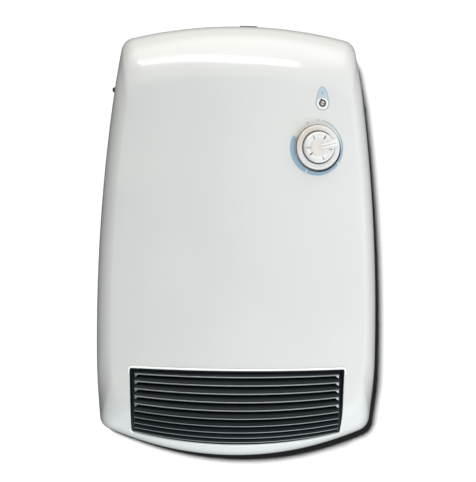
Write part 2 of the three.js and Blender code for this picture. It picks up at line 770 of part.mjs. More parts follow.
const bossTop = PLATE_THICKNESS + BOSS_HEIGHT;
const terminalX = TERMINAL_INSET - COVER_HALF_WIDTH;
const seatDepth = bossTop + GAP;
const flangeTop = seatDepth + SHEET;
const drumLeftX = DRUM_SIDE_CLEARANCE - COVER_HALF_WIDTH;
const leftPlateX = drumLeftX - DRUM_RUNNING_GAP - SHEET;

// From the cover's right side inwards: shaft, cooling fan, motor between its bridges, end plate.
const coolingFanEnd = COVER_HALF_WIDTH - SHAFT_SIDE_CLEARANCE - SHAFT_RADIUS;
const coolingFanX = coolingFanEnd - COOLING_FAN_LENGTH;
const outerBridgeFace = coolingFanX - SCREW_HEAD_HEIGHT - COOLING_FAN_GAP;
const outerBridgeX = outerBridgeFace - MOTOR_BRIDGE_DEPTH;
const statorRightX = outerBridgeX - GAP;
const statorLeftX = statorRightX - STATOR_STACK;
const innerBridgeX = statorLeftX - GAP - MOTOR_BRIDGE_DEPTH;
const standoffEnd = innerBridgeX - GAP;
const rightPlateFace = standoffEnd - MOTOR_STANDOFF;
const rightPlateX = rightPlateFace - SHEET;
const drumRightX = rightPlateX - DRUM_RUNNING_GAP;
const drumLength = drumRightX - drumLeftX;
const footZ = [DRUM_Z + DRUM_RADIUS - FOOT_SETBACK, DRUM_Z + DRUM_RADIUS - FOOT_SETBACK - FOOT_SPACING];
const footX = [leftPlateX - FLANGE_WIDTH / 2, rightPlateFace + FLANGE_WIDTH / 2];
const blowerBosses = footX.flatMap((x) => footZ.map((z) => [x, z]));

// Where the control bracket's legs, set at the knob's tilt, come down on the wall plate.
const bracketReach = (frontDepthAt(KNOB_X) - seatDepth) / Math.cos(knobTilt);
const bracketFootX = KNOB_X - bracketReach * Math.sin(knobTilt);
const bracketMidZ = KNOB_Z + (BRACKET_LEG_ABOVE - BRACKET_LEG_BELOW) / 2;
const bracketBosses = [-1, 1].map((end) => [
  bracketFootX,
  bracketMidZ + end * ((BRACKET_LEG_ABOVE + BRACKET_LEG_BELOW) / 2 - BOSS_RADIUS - SCREW_HEAD_RADIUS),
]);
const terminalBosses = [-1, 1].map((end) => [
  terminalX + end * (TERMINAL_WIDTH / 2 + BOSS_RADIUS),
  TERMINAL_Z,
]);
const plateBosses = [...blowerBosses, ...bracketBosses, ...terminalBosses];

// A screw through something seated on a boss, its head on a face at the given depth.
function plateScrew([x, z], headDepth) {
  return screw(headDepth - bossTop + SCREW_GRIP - 2 * GAP).translate(x, -headDepth - GAP, z);
}

function numbered(name, geometries, material) {
  geometries.forEach((geometry, i) => meshOf(`${name}_${i + 1}`, geometry, material));
}

function screwsOnPlate(name, places, headDepth) {
  numbered(
    name,
    places.map((place) => plateScrew(place, headDepth)),
    zincScrew
  );
}

function screwHoleInDepth([x, z], depthLow, depthHigh) {
  return rodInDepth(SCREW_SHANK_RADIUS + GAP, x, z, depthLow, depthHigh, 8);
}

// ---------------------------------------------------------------- wall plate

function outlineShape(inset) {
  const { points } = halfOutline(insetOutline(coverRim, inset));
  const left = points.slice(1, -1).map(({ x, y }) => new THREE.Vector2(-x, y));
  return new THREE.Shape([...points, ...left.reverse()]);
}

function roofZAt(x) {
  return COVER_TOP_Z - COVER_TOP_RADIUS + Math.sqrt(COVER_TOP_RADIUS ** 2 - x ** 2);
}

function catchArm() {
  const armTop = roofZAt(Math.abs(CATCH_X) + CATCH_WIDTH / 2) - COVER_WALL - GAP;
  const low = CATCH_X - CATCH_WIDTH / 2;
  const high = CATCH_X + CATCH_WIDTH / 2;
  const tip = CATCH_REAR_DEPTH + CATCH_LENGTH;
  return [
    boxBetween(low, high, PLATE_THICKNESS / 2, tip, armTop - CATCH_THICKNESS, armTop),
    boxBetween(low, high, CATCH_REAR_DEPTH, tip, armTop - CATCH_THICKNESS, COVER_TOP_Z + CATCH_PROUD),
  ];
}

function wallPlate() {
  const seat = COVER_WALL + GAP;
  const rimTop = PLATE_THICKNESS + PLATE_RIM_HEIGHT;
  const tray = cut(
    extrudeForward(outlineShape(seat), 0, rimTop),
    extrudeForward(outlineShape(seat + PLATE_RIM_WALL), PLATE_THICKNESS, 2 * rimTop)
  );
  const bosses = plateBosses.map(([x, z]) => rodInDepth(BOSS_RADIUS, x, z, PLATE_THICKNESS / 2, bossTop, 8));
  const bossHoles = plateBosses.map((place) => screwHoleInDepth(place, bossTop - SCREW_GRIP, 2 * bossTop));
  const keyholes = [-KEYHOLE_X, KEYHOLE_X].flatMap((x) => [
    rodInDepth(KEYHOLE_HEAD_RADIUS, x, KEYHOLE_Z, -PLATE_THICKNESS, 2 * PLATE_THICKNESS, 20),
    boxBetween(
      x - KEYHOLE_SLOT_WIDTH / 2,
      x + KEYHOLE_SLOT_WIDTH / 2,
      -PLATE_THICKNESS,
      2 * PLATE_THICKNESS,
      KEYHOLE_Z,
      KEYHOLE_Z + KEYHOLE_SLOT_LENGTH
    ),
  ]);
  const footHoles = [-FOOT_HOLE_X, FOOT_HOLE_X].map((x) =>
    rodInDepth(FOOT_HOLE_RADIUS, x, FOOT_HOLE_Z, -PLATE_THICKNESS, 2 * PLATE_THICKNESS, 12)
  );
  const entry = rodInDepth(GROMMET_RADIUS, terminalX, ENTRY_Z, -PLATE_THICKNESS, 2 * PLATE_THICKNESS, 20);
  const screwX = sideXAt(COVER_SCREW_Z) - COVER_WALL - GAP;
  const ears = [-1, 1].map((side) =>
    boxBetween(
      Math.min(side * screwX, side * (screwX - COVER_EAR_THICKNESS)),
      Math.max(side * screwX, side * (screwX - COVER_EAR_THICKNESS)),
      PLATE_THICKNESS / 2,
      COVER_SCREW_DEPTH + COVER_EAR_WIDTH / 2,
      COVER_SCREW_Z - COVER_EAR_WIDTH / 2,
      COVER_SCREW_Z + COVER_EAR_WIDTH / 2
    )
  );
  const inside = coverSolid(seat, -PLATE_THICKNESS);
  const earHoles = rodAlongX(SCREW_SHANK_RADIUS + GAP, -screwX, screwX, COVER_SCREW_DEPTH, COVER_SCREW_Z, 10);
  const solid = union(tray, ...bosses, ...catchArm(), common(union(...ears), inside));
  return cut(solid, ...bossHoles, ...keyholes, ...footHoles, entry, earHoles);
}

meshOf('back_plate', wallPlate(), greyPlastic);

const darkScrew = new THREE.MeshStandardMaterial({ color: 0x15171a, roughness: 0.4, metalness: 0.6 });

function coverScrews() {
  const headX = sideXAt(COVER_SCREW_Z) + GAP / 2;
  const length = COVER_WALL + GAP + COVER_EAR_THICKNESS;
  return [-1, 1].map((side) =>
    screw(length, SCREW_SHANK_RADIUS, COVER_SCREW_HEAD_RADIUS, COVER_SCREW_HEAD_HEIGHT)
      .rotateZ((side * Math.PI) / 2)
      .translate(side * headX, -COVER_SCREW_DEPTH, COVER_SCREW_Z)
  );
}

numbered('cover_screw', coverScrews(), darkScrew);

// ---------------------------------------------------------------- blower housing

const rollTop = (z) => THREE.MathUtils.clamp((rollTopZ - z) / BOTTOM_ROLL_HEIGHT, 0, 1);
const midFaceDepthAt = (z) => COVER_DEPTH - BOTTOM_ROLL_DEPTH * (1 - Math.sqrt(1 - rollTop(z) ** 2));

const drumCentre = new THREE.Vector2(DRUM_DEPTH, DRUM_Z);

function aboutDrum(radius, degrees) {
  const angle = THREE.MathUtils.degToRad(degrees);
  return new THREE.Vector2(radius * Math.cos(angle), radius * Math.sin(angle)).add(drumCentre);
}

// Side-view lines (depth, z) of the air path: the scroll behind the drum and the tongue before it.
const scrollSteps = 8;
const scrollCurve = Array.from({ length: scrollSteps + 1 }, (_, i) => {
  const share = i / scrollSteps;
  const radius = DRUM_RADIUS + SCROLL_GAP + SCROLL_GROWTH * share;
  return aboutDrum(radius, THREE.MathUtils.lerp(SCROLL_START, SCROLL_END, share));
});
const scrollEnd = scrollCurve[scrollSteps];
const floorEnd = new THREE.Vector2(midFaceDepthAt(OUTLET_BOTTOM_Z), OUTLET_BOTTOM_Z + DUCT_FLOOR_INSET);
const tongueSteps = 4;
const tongueCurve = Array.from({ length: tongueSteps + 1 }, (_, i) =>
  aboutDrum(DRUM_RADIUS + SCROLL_GAP, THREE.MathUtils.lerp(TONGUE_START, TONGUE_END, i / tongueSteps))
);
const ceilingEnd = new THREE.Vector2(COVER_DEPTH, OUTLET_TOP_Z - DUCT_FLOOR_INSET);

// Everything of the blower ends behind the grille and its flange.
const blowerSpace = common(
  coverSolid(COVER_WALL + GRILLE_FLANGE_THICKNESS + 2 * GAP, -PLATE_THICKNESS),
  coverSolid(GRILLE_RECESS, -PLATE_THICKNESS).translate(0, GRILLE_THICKNESS + DUCT_SETBACK, 0)
);
const ductLeftX = leftPlateX + SHEET + GAP;
const ductRightX = rightPlateX - GAP;
const scrollStrip = stripAlong([...scrollCurve, floorEnd], DUCT_SHEET);
const tongueStrip = stripAlong([...tongueCurve, ceilingEnd], -DUCT_SHEET);
const scrollSheet = extrudeAcross(scrollStrip, ductLeftX, ductRightX);
const tongueSheet = extrudeAcross(tongueStrip, ductLeftX, ductRightX);
meshOf('blower_rear_shell', common(scrollSheet, blowerSpace), galvanised);
meshOf('blower_tongue', common(tongueSheet, blowerSpace), galvanised);

const motorScrewReach = (STATOR_WIDTH - MOTOR_FOOT_WIDTH) / 2;
const motorScrewDepths = [DRUM_DEPTH - motorScrewReach, DRUM_DEPTH + motorScrewReach];

function endPlate(plateX, side) {
  const topZ = DRUM_Z + DRUM_RADIUS + END_PLATE_MARGIN;
  const flangeLowZ = footZ[1] - FLANGE_WIDTH;
  const sheet = extrudeAcross(
    [
      new THREE.Vector2(seatDepth, topZ),
      new THREE.Vector2(seatDepth, flangeLowZ),
      new THREE.Vector2(floorEnd.x, floorEnd.y - END_PLATE_MARGIN),
      new THREE.Vector2(COVER_DEPTH, floorEnd.y - END_PLATE_MARGIN),
      new THREE.Vector2(COVER_DEPTH, ceilingEnd.y + END_PLATE_MARGIN),
      new THREE.Vector2(DRUM_DEPTH + DRUM_RADIUS + END_PLATE_MARGIN, topZ),
    ],
    plateX,
    plateX + SHEET
  );
  const flange =
    side < 0
      ? boxBetween(plateX - FLANGE_WIDTH, plateX + SHEET, seatDepth, flangeTop, flangeLowZ, topZ)
      : boxBetween(plateX, rightPlateFace + FLANGE_WIDTH, seatDepth, flangeTop, flangeLowZ, topZ);
  const x = side < 0 ? footX[0] : footX[1];
  const holes = footZ.map((z) => screwHoleInDepth([x, z], seatDepth - SHEET, flangeTop + SHEET));
  return { solid: union(common(sheet, blowerSpace), flange), holes };
}

function endPlateLeft() {
  const { solid, holes } = endPlate(leftPlateX, -1);
  const seatRadius = BEARING_RUBBER_RADIUS + GAP;
  const seat = rodAlongX(seatRadius, leftPlateX - SHEET, ductLeftX + SHEET, DRUM_DEPTH, DRUM_Z);
  return cut(solid, ...holes, seat);
}

function endPlateRight() {
  const { solid, holes } = endPlate(rightPlateX, 1);
  const posts = motorScrewDepths.map((depth) =>
    rodAlongX(BOSS_RADIUS, rightPlateX, standoffEnd, depth, DRUM_Z, 12)
  );
  const bores = motorScrewDepths.map((depth) =>
    rodAlongX(SCREW_SHANK_RADIUS + GAP, rightPlateX - SHEET, 2 * standoffEnd, depth, DRUM_Z, 10)
  );
  const shaftHole = rodAlongX(HUB_RADIUS + GAP, rightPlateX - SHEET, 2 * standoffEnd, DRUM_DEPTH, DRUM_Z);
  return cut(union(solid, ...posts), ...holes, ...bores, shaftHole);
}

meshOf('blower_end_plate_left', endPlateLeft(), galvanised);
meshOf('blower_end_plate_right', endPlateRight(), galvanised);
screwsOnPlate('blower_screw', blowerBosses, flangeTop);

// ---------------------------------------------------------------- fan wheel and its bearing

const blackRubber = new THREE.MeshStandardMaterial({ color: 0x1c1c1d, roughness: 0.85, metalness: 0 });
const bronze = new THREE.MeshStandardMaterial({ color: 0x9c7a4a, roughness: 0.45, metalness: 0.9 });
const steel = new THREE.MeshStandardMaterial({ color: 0x9da1a4, roughness: 0.3, metalness: 0.95 });
const aluminium = new THREE.MeshStandardMaterial({ color: 0xc4c7c9, roughness: 0.4, metalness: 0.9 });

// A ring profile given along Y, laid on the drum's axis with y = 0 at x.
function ringOnAxis(profile, x, sides = 16) {
  return turned([...profile, profile[0]], sides).rotateZ(-Math.PI / 2).translate(x, -DRUM_DEPTH, DRUM_Z);
}

const rubberHalf = SHEET / 2 + GAP;
const rubberReach = rubberHalf + BEARING_RUBBER_LIP / 2;
const lipRadius = BEARING_RUBBER_RADIUS + BEARING_RUBBER_LIP;
const bearingX = leftPlateX + SHEET / 2;
const rubberProfile = [
  [BEARING_RADIUS + GAP, -rubberReach],
  [lipRadius, -rubberReach],
  [lipRadius, -rubberHalf],
  [BEARING_RUBBER_RADIUS, -rubberHalf],
  [BEARING_RUBBER_RADIUS, rubberHalf],
  [lipRadius, rubberHalf],
  [lipRadius, rubberReach],
  [BEARING_RADIUS + GAP, rubberReach],
];
meshOf('bearing_rubber', ringOnAxis(rubberProfile, bearingX), blackRubber);

function tubeProfile(innerRadius, outerRadius, low, high) {
  return [
    [innerRadius, low],
    [outerRadius, low],
    [outerRadius, high],
    [innerRadius, high],
  ];
}

const shaftBore = SHAFT_RADIUS + GAP;
const bearingProfile = tubeProfile(shaftBore, BEARING_RADIUS, -rubberReach, rubberReach);
meshOf('fan_bearing', ringOnAxis(bearingProfile, bearingX), bronze);

function fanDrum() {
  const discs = [0, 1, 2].map((i) => {
    const x = drumLeftX + (i * (drumLength - DRUM_DISC_THICKNESS)) / 2;
    return rodAlongX(DRUM_RADIUS, x, x + DRUM_DISC_THICKNESS, DRUM_DEPTH, DRUM_Z, BLADE_COUNT);
  });
  const boss = rodAlongX(HUB_RADIUS, drumLeftX, drumLeftX + HUB_LENGTH / 2, DRUM_DEPTH, DRUM_Z);
  const bladeMid = DRUM_RADIUS - BLADE_CHORD / 2;
  const blades = Array.from({ length: BLADE_COUNT }, (_, i) =>
    new THREE.BoxGeometry(drumLength - DRUM_DISC_THICKNESS, BLADE_THICKNESS, BLADE_CHORD)
      .rotateX(THREE.MathUtils.degToRad(BLADE_TURN))
      .translate(drumLeftX + drumLength / 2, 0, bladeMid)
      .rotateX((i * 2 * Math.PI) / BLADE_COUNT)
      .translate(0, -DRUM_DEPTH, DRUM_Z)
  );
  const journalHole = rodAlongX(shaftBore, leftPlateX, drumLeftX + HUB_LENGTH, DRUM_DEPTH, DRUM_Z);
  const hubHole = rodAlongX(HUB_RADIUS + GAP, drumRightX - HUB_LENGTH, rightPlateX, DRUM_DEPTH, DRUM_Z);
  return cut(union(...discs, boss, ...blades), journalHole, hubHole);
}

meshOf('fan_drum', fanDrum(), aluminium);
const journalLeftX = bearingX - JOURNAL_LENGTH / 2;
const journal = rodAlongX(SHAFT_RADIUS, journalLeftX, drumLeftX + HUB_LENGTH / 2, DRUM_DEPTH, DRUM_Z);
meshOf('fan_journal', journal, steel);
const hubLeftX = drumRightX - HUB_LENGTH;
meshOf('fan_hub', ringOnAxis(tubeProfile(shaftBore, HUB_RADIUS, hubLeftX, drumRightX + GAP), 0), blackRubber);

// ---------------------------------------------------------------- motor

const lamination = new THREE.MeshStandardMaterial({ color: 0x6d7072, roughness: 0.5, metalness: 0.85 });
const winding = new THREE.MeshStandardMaterial({ color: 0x8e4b22, roughness: 0.5, metalness: 0.2 });

const statorRear = DRUM_DEPTH - STATOR_WIDTH / 2;
const statorFront = DRUM_DEPTH + STATOR_WIDTH / 2;
const statorLowZ = DRUM_Z - STATOR_WIDTH / 2;
const statorTopZ = statorLowZ + STATOR_HEIGHT;
const motorBores = motorScrewDepths.map((depth) =>
  rodAlongX(SCREW_SHANK_RADIUS + GAP, rightPlateX, 2 * outerBridgeFace, depth, DRUM_Z, 10)
);

function motorStator() {
  const stack = boxBetween(statorLeftX, statorRightX, statorRear, statorFront, statorLowZ, statorTopZ);
  const window = boxBetween(
    rightPlateX,
    2 * statorRightX,
    statorRear + STATOR_LIMB,
    statorFront - STATOR_LIMB,
    DRUM_Z + ROTOR_RADIUS + STATOR_LIMB / 2,
    statorTopZ - STATOR_LIMB
  );
  const rotorBore = rodAlongX(ROTOR_RADIUS + 2 * GAP, rightPlateX, 2 * statorRightX, DRUM_DEPTH, DRUM_Z);
  return cut(stack, window, rotorBore, ...motorBores);
}

function motorCoil() {
  const middle = (statorLeftX + statorRightX) / 2;
  const limbLow = statorTopZ - STATOR_LIMB - GAP;
  const limbTop = statorTopZ + GAP;
  const outer = boxBetween(
    middle - COIL_LENGTH / 2,
    middle + COIL_LENGTH / 2,
    DRUM_DEPTH - COIL_WIDTH / 2,
    DRUM_DEPTH + COIL_WIDTH / 2,
    limbLow - COIL_BUILD,
    limbTop + COIL_BUILD
  );
  return cut(outer, boxBetween(statorLeftX - GAP, statorRightX + GAP, 0, 2 * COVER_DEPTH, limbLow, limbTop));
}

// A bridge stands on the stator with two feet and carries the shaft's bush at mid span.
function motorBridge(lowX, plateLowX) {
  const low = DRUM_Z - MOTOR_BRIDGE_WIDTH / 2;
  const high = DRUM_Z + MOTOR_BRIDGE_WIDTH / 2;
  const highX = lowX + MOTOR_BRIDGE_DEPTH;
  const plate = boxBetween(plateLowX, plateLowX + SHEET, statorRear, statorFront, low, high);
  const feet = [
    boxBetween(lowX, highX, statorRear, statorRear + MOTOR_FOOT_WIDTH, low, high),
    boxBetween(lowX, highX, statorFront - MOTOR_FOOT_WIDTH, statorFront, low, high),
  ];
  const bush = rodAlongX(MOTOR_BUSH_RADIUS, lowX + SHEET, highX - SHEET, DRUM_DEPTH, DRUM_Z);
  const bore = rodAlongX(shaftBore, lowX - SHEET, highX + SHEET, DRUM_DEPTH, DRUM_Z);
  return cut(union(plate, ...feet, bush), bore, ...motorBores);
}

meshOf('motor_stator', motorStator(), lamination);
meshOf('motor_coil', motorCoil(), winding);
meshOf('motor_bracket_inner', motorBridge(innerBridgeX, innerBridgeX), galvanised);
meshOf('motor_bracket_outer', motorBridge(outerBridgeX, outerBridgeFace - SHEET), galvanised);

const motorScrews = motorScrewDepths.map((depth) =>
  screw(outerBridgeFace - rightPlateX)
    .rotateZ(Math.PI / 2)
    .translate(outerBridgeFace + GAP, -depth, DRUM_Z)
);
numbered('motor_screw', motorScrews, zincScrew);

meshOf('motor_rotor', ringOnAxis(tubeProfile(shaftBore, ROTOR_RADIUS, statorLeftX, statorRightX), 0), steel);

const shaft = rodAlongX(SHAFT_RADIUS, hubLeftX, coolingFanEnd + SHAFT_RADIUS, DRUM_DEPTH, DRUM_Z);
meshOf('motor_shaft', shaft, steel);

function coolingFan() {
  const hub = rodAlongX(COOLING_FAN_HUB_RADIUS, coolingFanX, coolingFanEnd, DRUM_DEPTH, DRUM_Z);
  const inner = COOLING_FAN_HUB_RADIUS - BLADE_THICKNESS;
  const blades = Array.from({ length: COOLING_BLADE_COUNT }, (_, i) =>
    new THREE.BoxGeometry(COOLING_FAN_LENGTH, BLADE_THICKNESS, COOLING_FAN_RADIUS - inner)
      .rotateZ(THREE.MathUtils.degToRad(BLADE_TURN))
      .translate((coolingFanX + coolingFanEnd) / 2, 0, (COOLING_FAN_RADIUS + inner) / 2)
      .rotateX((i * 2 * Math.PI) / COOLING_BLADE_COUNT)
      .translate(0, -DRUM_DEPTH, DRUM_Z)
  );
  return cut(union(hub, ...blades), rodAlongX(shaftBore, rightPlateX, 2 * coolingFanEnd, DRUM_DEPTH, DRUM_Z));
}

meshOf('cooling_fan', coolingFan(), darkPlastic);

// ---------------------------------------------------------------- heating element

const mica = new THREE.MeshStandardMaterial({ color: 0xb9ad92, roughness: 0.7, metalness: 0 });
const sheath = new THREE.MeshStandardMaterial({ color: 0x77726c, roughness: 0.4, metalness: 0.8 });

// The heater's own frame: X across the duct, -Y with the air, Z towards the tongue.
const flow = floorEnd.clone().sub(scrollEnd).normalize();
const heaterMiddle = scrollEnd
  .clone()
  .addScaledVector(flow, HEATER_ALONG_DUCT)
  .add(new THREE.Vector2(-flow.y, flow.x).multiplyScalar(HEATER_FRAME_HEIGHT / 2 + SCROLL_GAP));
const heaterFrame = new THREE.Matrix4()
  .makeBasis(
    new THREE.Vector3(1, 0, 0),
    new THREE.Vector3(0, flow.x, -flow.y),
    new THREE.Vector3(0, flow.y, flow.x)
  )
  .setPosition(0, -heaterMiddle.x, heaterMiddle.y);
const elementLeftX = ductLeftX + HEATER_FRAME_WALL + GAP;
const elementRightX = ductRightX - HEATER_FRAME_WALL - GAP;

function heaterFrameBoards() {
  const half = HEATER_FRAME_HEIGHT / 2;
  const thick = HEATER_FRAME_THICKNESS / 2;
  const windowHalf = half - HEATER_FRAME_WALL;
  return cut(
    boxBetween(ductLeftX, ductRightX, -thick, thick, -half, half),
    boxBetween(elementLeftX - GAP, elementRightX + GAP, -2 * thick, 2 * thick, -windowHalf, windowHalf)
  ).applyMatrix4(heaterFrame);
}

// A sheathed tube laid to and fro across the duct, both its ends on the right.
function heatingElement() {
  const bend = ELEMENT_PITCH / 2;
  const leftX = elementLeftX + ELEMENT_RADIUS + bend;
  const rightX = elementRightX - ELEMENT_RADIUS - bend;
  const points = [];
  for (let pass = 0; pass < ELEMENT_PASSES; pass += 1) {
    const z = ((ELEMENT_PASSES - 1) / 2 - pass) * ELEMENT_PITCH;
    const leftward = pass % 2 === 0;
    if (pass === 0) {
      points.push(new THREE.Vector3(elementRightX, 0, z));
    }
    if (pass === ELEMENT_PASSES - 1) {
      points.push(new THREE.Vector3(leftward ? elementLeftX : elementRightX, 0, z));
    } else {
      for (let step = 0; step <= ELEMENT_BEND_STEPS; step += 1) {
        const angle = (step / ELEMENT_BEND_STEPS) * Math.PI;
        const out = bend * Math.sin(angle) * (leftward ? -1 : 1);
        const x = (leftward ? leftX : rightX) + out;
        points.push(new THREE.Vector3(x, 0, z - bend + bend * Math.cos(angle)));
      }
    }
  }
  return tubeThrough(points, ELEMENT_RADIUS).applyMatrix4(heaterFrame);
}

meshOf('heater_frame', heaterFrameBoards(), mica);
meshOf('heating_element', heatingElement(), sheath);

const cutoutCentre = heaterMiddle.clone().addScaledVector(flow, -HEATER_FRAME_THICKNESS / 2);
const cutoutEnd = rightPlateFace + GAP + CUTOUT_HEIGHT;
meshOf(
  'thermal_cutout',
  union(
    rodAlongX(CUTOUT_RADIUS, rightPlateFace + GAP, cutoutEnd, cutoutCentre.x, cutoutCentre.y),
    rodAlongX(CUTOUT_RADIUS / 2, cutoutEnd - SHEET, cutoutEnd + SHEET, cutoutCentre.x, cutoutCentre.y, 12)
  ),
  darkPlastic
);

// ---------------------------------------------------------------- thermostat, knob and lamp

const bakelite = new THREE.MeshStandardMaterial({ color: 0x3a2c22, roughness: 0.5, metalness: 0 });
const pearlPlastic = new THREE.MeshStandardMaterial({ color: 0xe4e5e3, roughness: 0.25, metalness: 0.1 });
const clearPlastic = new THREE.MeshStandardMaterial({ color: 0xcfd6d8, roughness: 0.1, metalness: 0 });
const glass = new THREE.MeshStandardMaterial({ color: 0xd8dcdc, roughness: 0.05, metalness: 0 });

const bracketBack = BRACKET_SETBACK + SHEET;

// A box in the knob's frame: x across, in = behind the cover's face, z up.
function boxInKnobFrame(xLow, xHigh, inLow, inHigh, zLow, zHigh) {
  return boxBetween(xLow, xHigh, -inHigh, -inLow, zLow, zHigh);
}

function controlBracket() {
  const half = BRACKET_WIDTH / 2;
  const reach = 2 * bracketReach;
  const plate = boxInKnobFrame(-half, half, BRACKET_SETBACK, bracketBack, -BRACKET_BELOW, BRACKET_ABOVE);
  const legs = [-half, half - SHEET].map((x) =>
    boxInKnobFrame(x, x + SHEET, BRACKET_SETBACK, reach, -BRACKET_LEG_BELOW, BRACKET_LEG_ABOVE)
  );
  const spindleHole = rodInKnobFrame(spindleHoleRadius, 0, 0, 0, 2 * bracketBack);
  const lampHole = rodInKnobFrame(NEON_RADIUS + GAP, LAMP_X, LAMP_Z, 0, 2 * bracketBack, 16);
  const screwHoles = [-THERMOSTAT_SCREW_X, THERMOSTAT_SCREW_X].map((x) =>
    rodInKnobFrame(SCREW_SHANK_RADIUS + GAP, x, 0, 0, 2 * bracketBack, 10)
  );
  const arch = cut(union(plate, ...legs), spindleHole, lampHole, ...screwHoles).applyMatrix4(knobFrame);
  const spread = half / Math.cos(knobTilt) + FLANGE_WIDTH / 2;
  const zLow = KNOB_Z - BRACKET_LEG_BELOW;
  const zHigh = KNOB_Z + BRACKET_LEG_ABOVE;
  const foot = boxBetween(bracketFootX - spread, bracketFootX + spread, seatDepth, flangeTop, zLow, zHigh);
  const side = COVER_HALF_WIDTH;
  const behindSeat = boxBetween(-side, side, -2 * COVER_DEPTH, seatDepth, 0, COVER_TOP_Z);
  const footHoles = bracketBosses.map((place) => screwHoleInDepth(place, 0, 2 * flangeTop));
  return cut(union(cut(arch, behindSeat), foot), ...footHoles);
}

meshOf('control_bracket', controlBracket(), galvanised);
screwsOnPlate('bracket_screw', bracketBosses, flangeTop);

const thermostatFront = bracketBack + GAP;
const thermostatBack = thermostatFront + THERMOSTAT_LENGTH;
const tabPitch = THERMOSTAT_WIDTH / (THERMOSTAT_TAB_COUNT + 1);
const tabPlaces = Array.from(
  { length: THERMOSTAT_TAB_COUNT },
  (_, i) => (i - (THERMOSTAT_TAB_COUNT - 1) / 2) * tabPitch
);

function thermostatBody() {
  const side = THERMOSTAT_WIDTH / 2;
  const halfHeight = THERMOSTAT_HEIGHT / 2;
  const body = boxInKnobFrame(-side, side, thermostatFront, thermostatBack, -halfHeight, halfHeight);
  const tabs = tabPlaces.map((x) =>
    boxInKnobFrame(
      x - TAB_WIDTH / 2,
      x + TAB_WIDTH / 2,
      thermostatBack - SHEET,
      thermostatBack + TAB_LENGTH,
      halfHeight / 2,
      halfHeight / 2 + TAB_THICKNESS
    )
  );
  const socket = rodInKnobFrame(shaftBore, 0, 0, 0, thermostatFront + THERMOSTAT_SOCKET_DEPTH);
  const screwHoles = [-THERMOSTAT_SCREW_X, THERMOSTAT_SCREW_X].map((x) =>
    rodInKnobFrame(SCREW_SHANK_RADIUS + GAP, x, 0, 0, thermostatFront + SCREW_GRIP + GAP, 10)
  );
  return cut(union(body, ...tabs), socket, ...screwHoles).applyMatrix4(knobFrame);
}

meshOf('thermostat_body', thermostatBody(), bakelite);

const thermostatScrews = [-THERMOSTAT_SCREW_X, THERMOSTAT_SCREW_X].map((x) =>
  screw(SHEET + SCREW_GRIP, SCREW_SHANK_RADIUS, SCREW_HEAD_RADIUS, LOW_HEAD_HEIGHT)
    .translate(x, BRACKET_SETBACK - GAP, 0)
    .applyMatrix4(knobFrame)
);
numbered('thermostat_screw', thermostatScrews, zincScrew);

const knobBack = -KNOB_STANDOFF;
const socketEnd = knobBack - KNOB_SOCKET_DEPTH;

// The spindle runs from the thermostat's socket through bracket and cover into the knob.
const spindleProfile = [
  [0, socketEnd + GAP],
  [SHAFT_RADIUS, socketEnd + GAP],
  [SHAFT_RADIUS, COVER_WALL],
  [SHAFT_RADIUS + SPINDLE_COLLAR, COVER_WALL],
  [SHAFT_RADIUS + SPINDLE_COLLAR, bracketBack],
  [SHAFT_RADIUS, bracketBack],
  [SHAFT_RADIUS, thermostatFront + THERMOSTAT_SOCKET_DEPTH - GAP],
  [0, thermostatFront + THERMOSTAT_SOCKET_DEPTH - GAP],
];
meshOf('thermostat_spindle', turned(spindleProfile).applyMatrix4(knobFrame), steel);

const springOuter = shaftBore + KNOB_SPRING_WALL;
const springBack = knobBack - GAP;
const springFront = springBack - KNOB_SPRING_LENGTH;
const springSlit = boxInKnobFrame(0, 2 * springOuter, 2 * springFront, 0, -SHEET / 2, SHEET / 2);
const springRing = turned(
  [
    [shaftBore, springFront],
    [springOuter, springFront],
    [springOuter, springBack],
    [shaftBore, springBack],
    [shaftBore, springFront],
  ],
  20
);
meshOf('knob_spring', cut(springRing, springSlit).applyMatrix4(knobFrame), steel);

function controlKnob() {
  const skirtFront = knobBack - KNOB_SKIRT_HEIGHT;
  const knobFront = knobBack - KNOB_HEIGHT;
  const edge = KNOB_SKIRT_HEIGHT / 3;
  const body = turned(
    [
      [0, knobFront],
      [KNOB_CROWN_RADIUS - edge, knobFront],
      [KNOB_CROWN_RADIUS, knobFront + edge],
      [KNOB_CROWN_RADIUS, skirtFront],
      [KNOB_SKIRT_RADIUS - 2 * edge, skirtFront],
      [KNOB_SKIRT_RADIUS, skirtFront + 2 * edge],
      [KNOB_SKIRT_RADIUS, knobBack],
      [0, knobBack],
    ],
    32
  );
  const pointer = boxInKnobFrame(
    0,
    KNOB_SKIRT_RADIUS - 2 * edge,
    knobFront,
    skirtFront + edge,
    -KNOB_POINTER_WIDTH / 2,
    KNOB_POINTER_WIDTH / 2
  ).rotateY(-THREE.MathUtils.degToRad(KNOB_POINTER_ANGLE));
  const socket = rodInKnobFrame(shaftBore, 0, 0, socketEnd, 0);
  const springSeat = rodInKnobFrame(springOuter + GAP, 0, 0, springFront - GAP, 0);
  return cut(union(body, pointer), socket, springSeat).applyMatrix4(knobFrame);
}

meshOf('control_knob', controlKnob(), pearlPlastic);

// Behind the cover the lens has a flange, and the neon lamp stands in its holder behind the lens.
const lensBack = LENS_FLANGE + COVER_WALL + 2 * GAP;
const lensProfile = [
  [0, -LENS_PROUD],
  [LENS_RADIUS * LENS_DOME_SHARE, -LENS_PROUD * LENS_DOME_SHARE],
  [LENS_RADIUS, 0],
  [LENS_RADIUS, COVER_WALL + 2 * GAP],
  [LENS_RADIUS + LENS_FLANGE, COVER_WALL + 2 * GAP],
  [LENS_RADIUS + LENS_FLANGE, lensBack],
  [0, lensBack],
];
const atLamp = (geometry) => geometry.translate(LAMP_X, 0, LAMP_Z).applyMatrix4(knobFrame);
meshOf('indicator_lens', atLamp(turned(lensProfile)), clearPlastic);

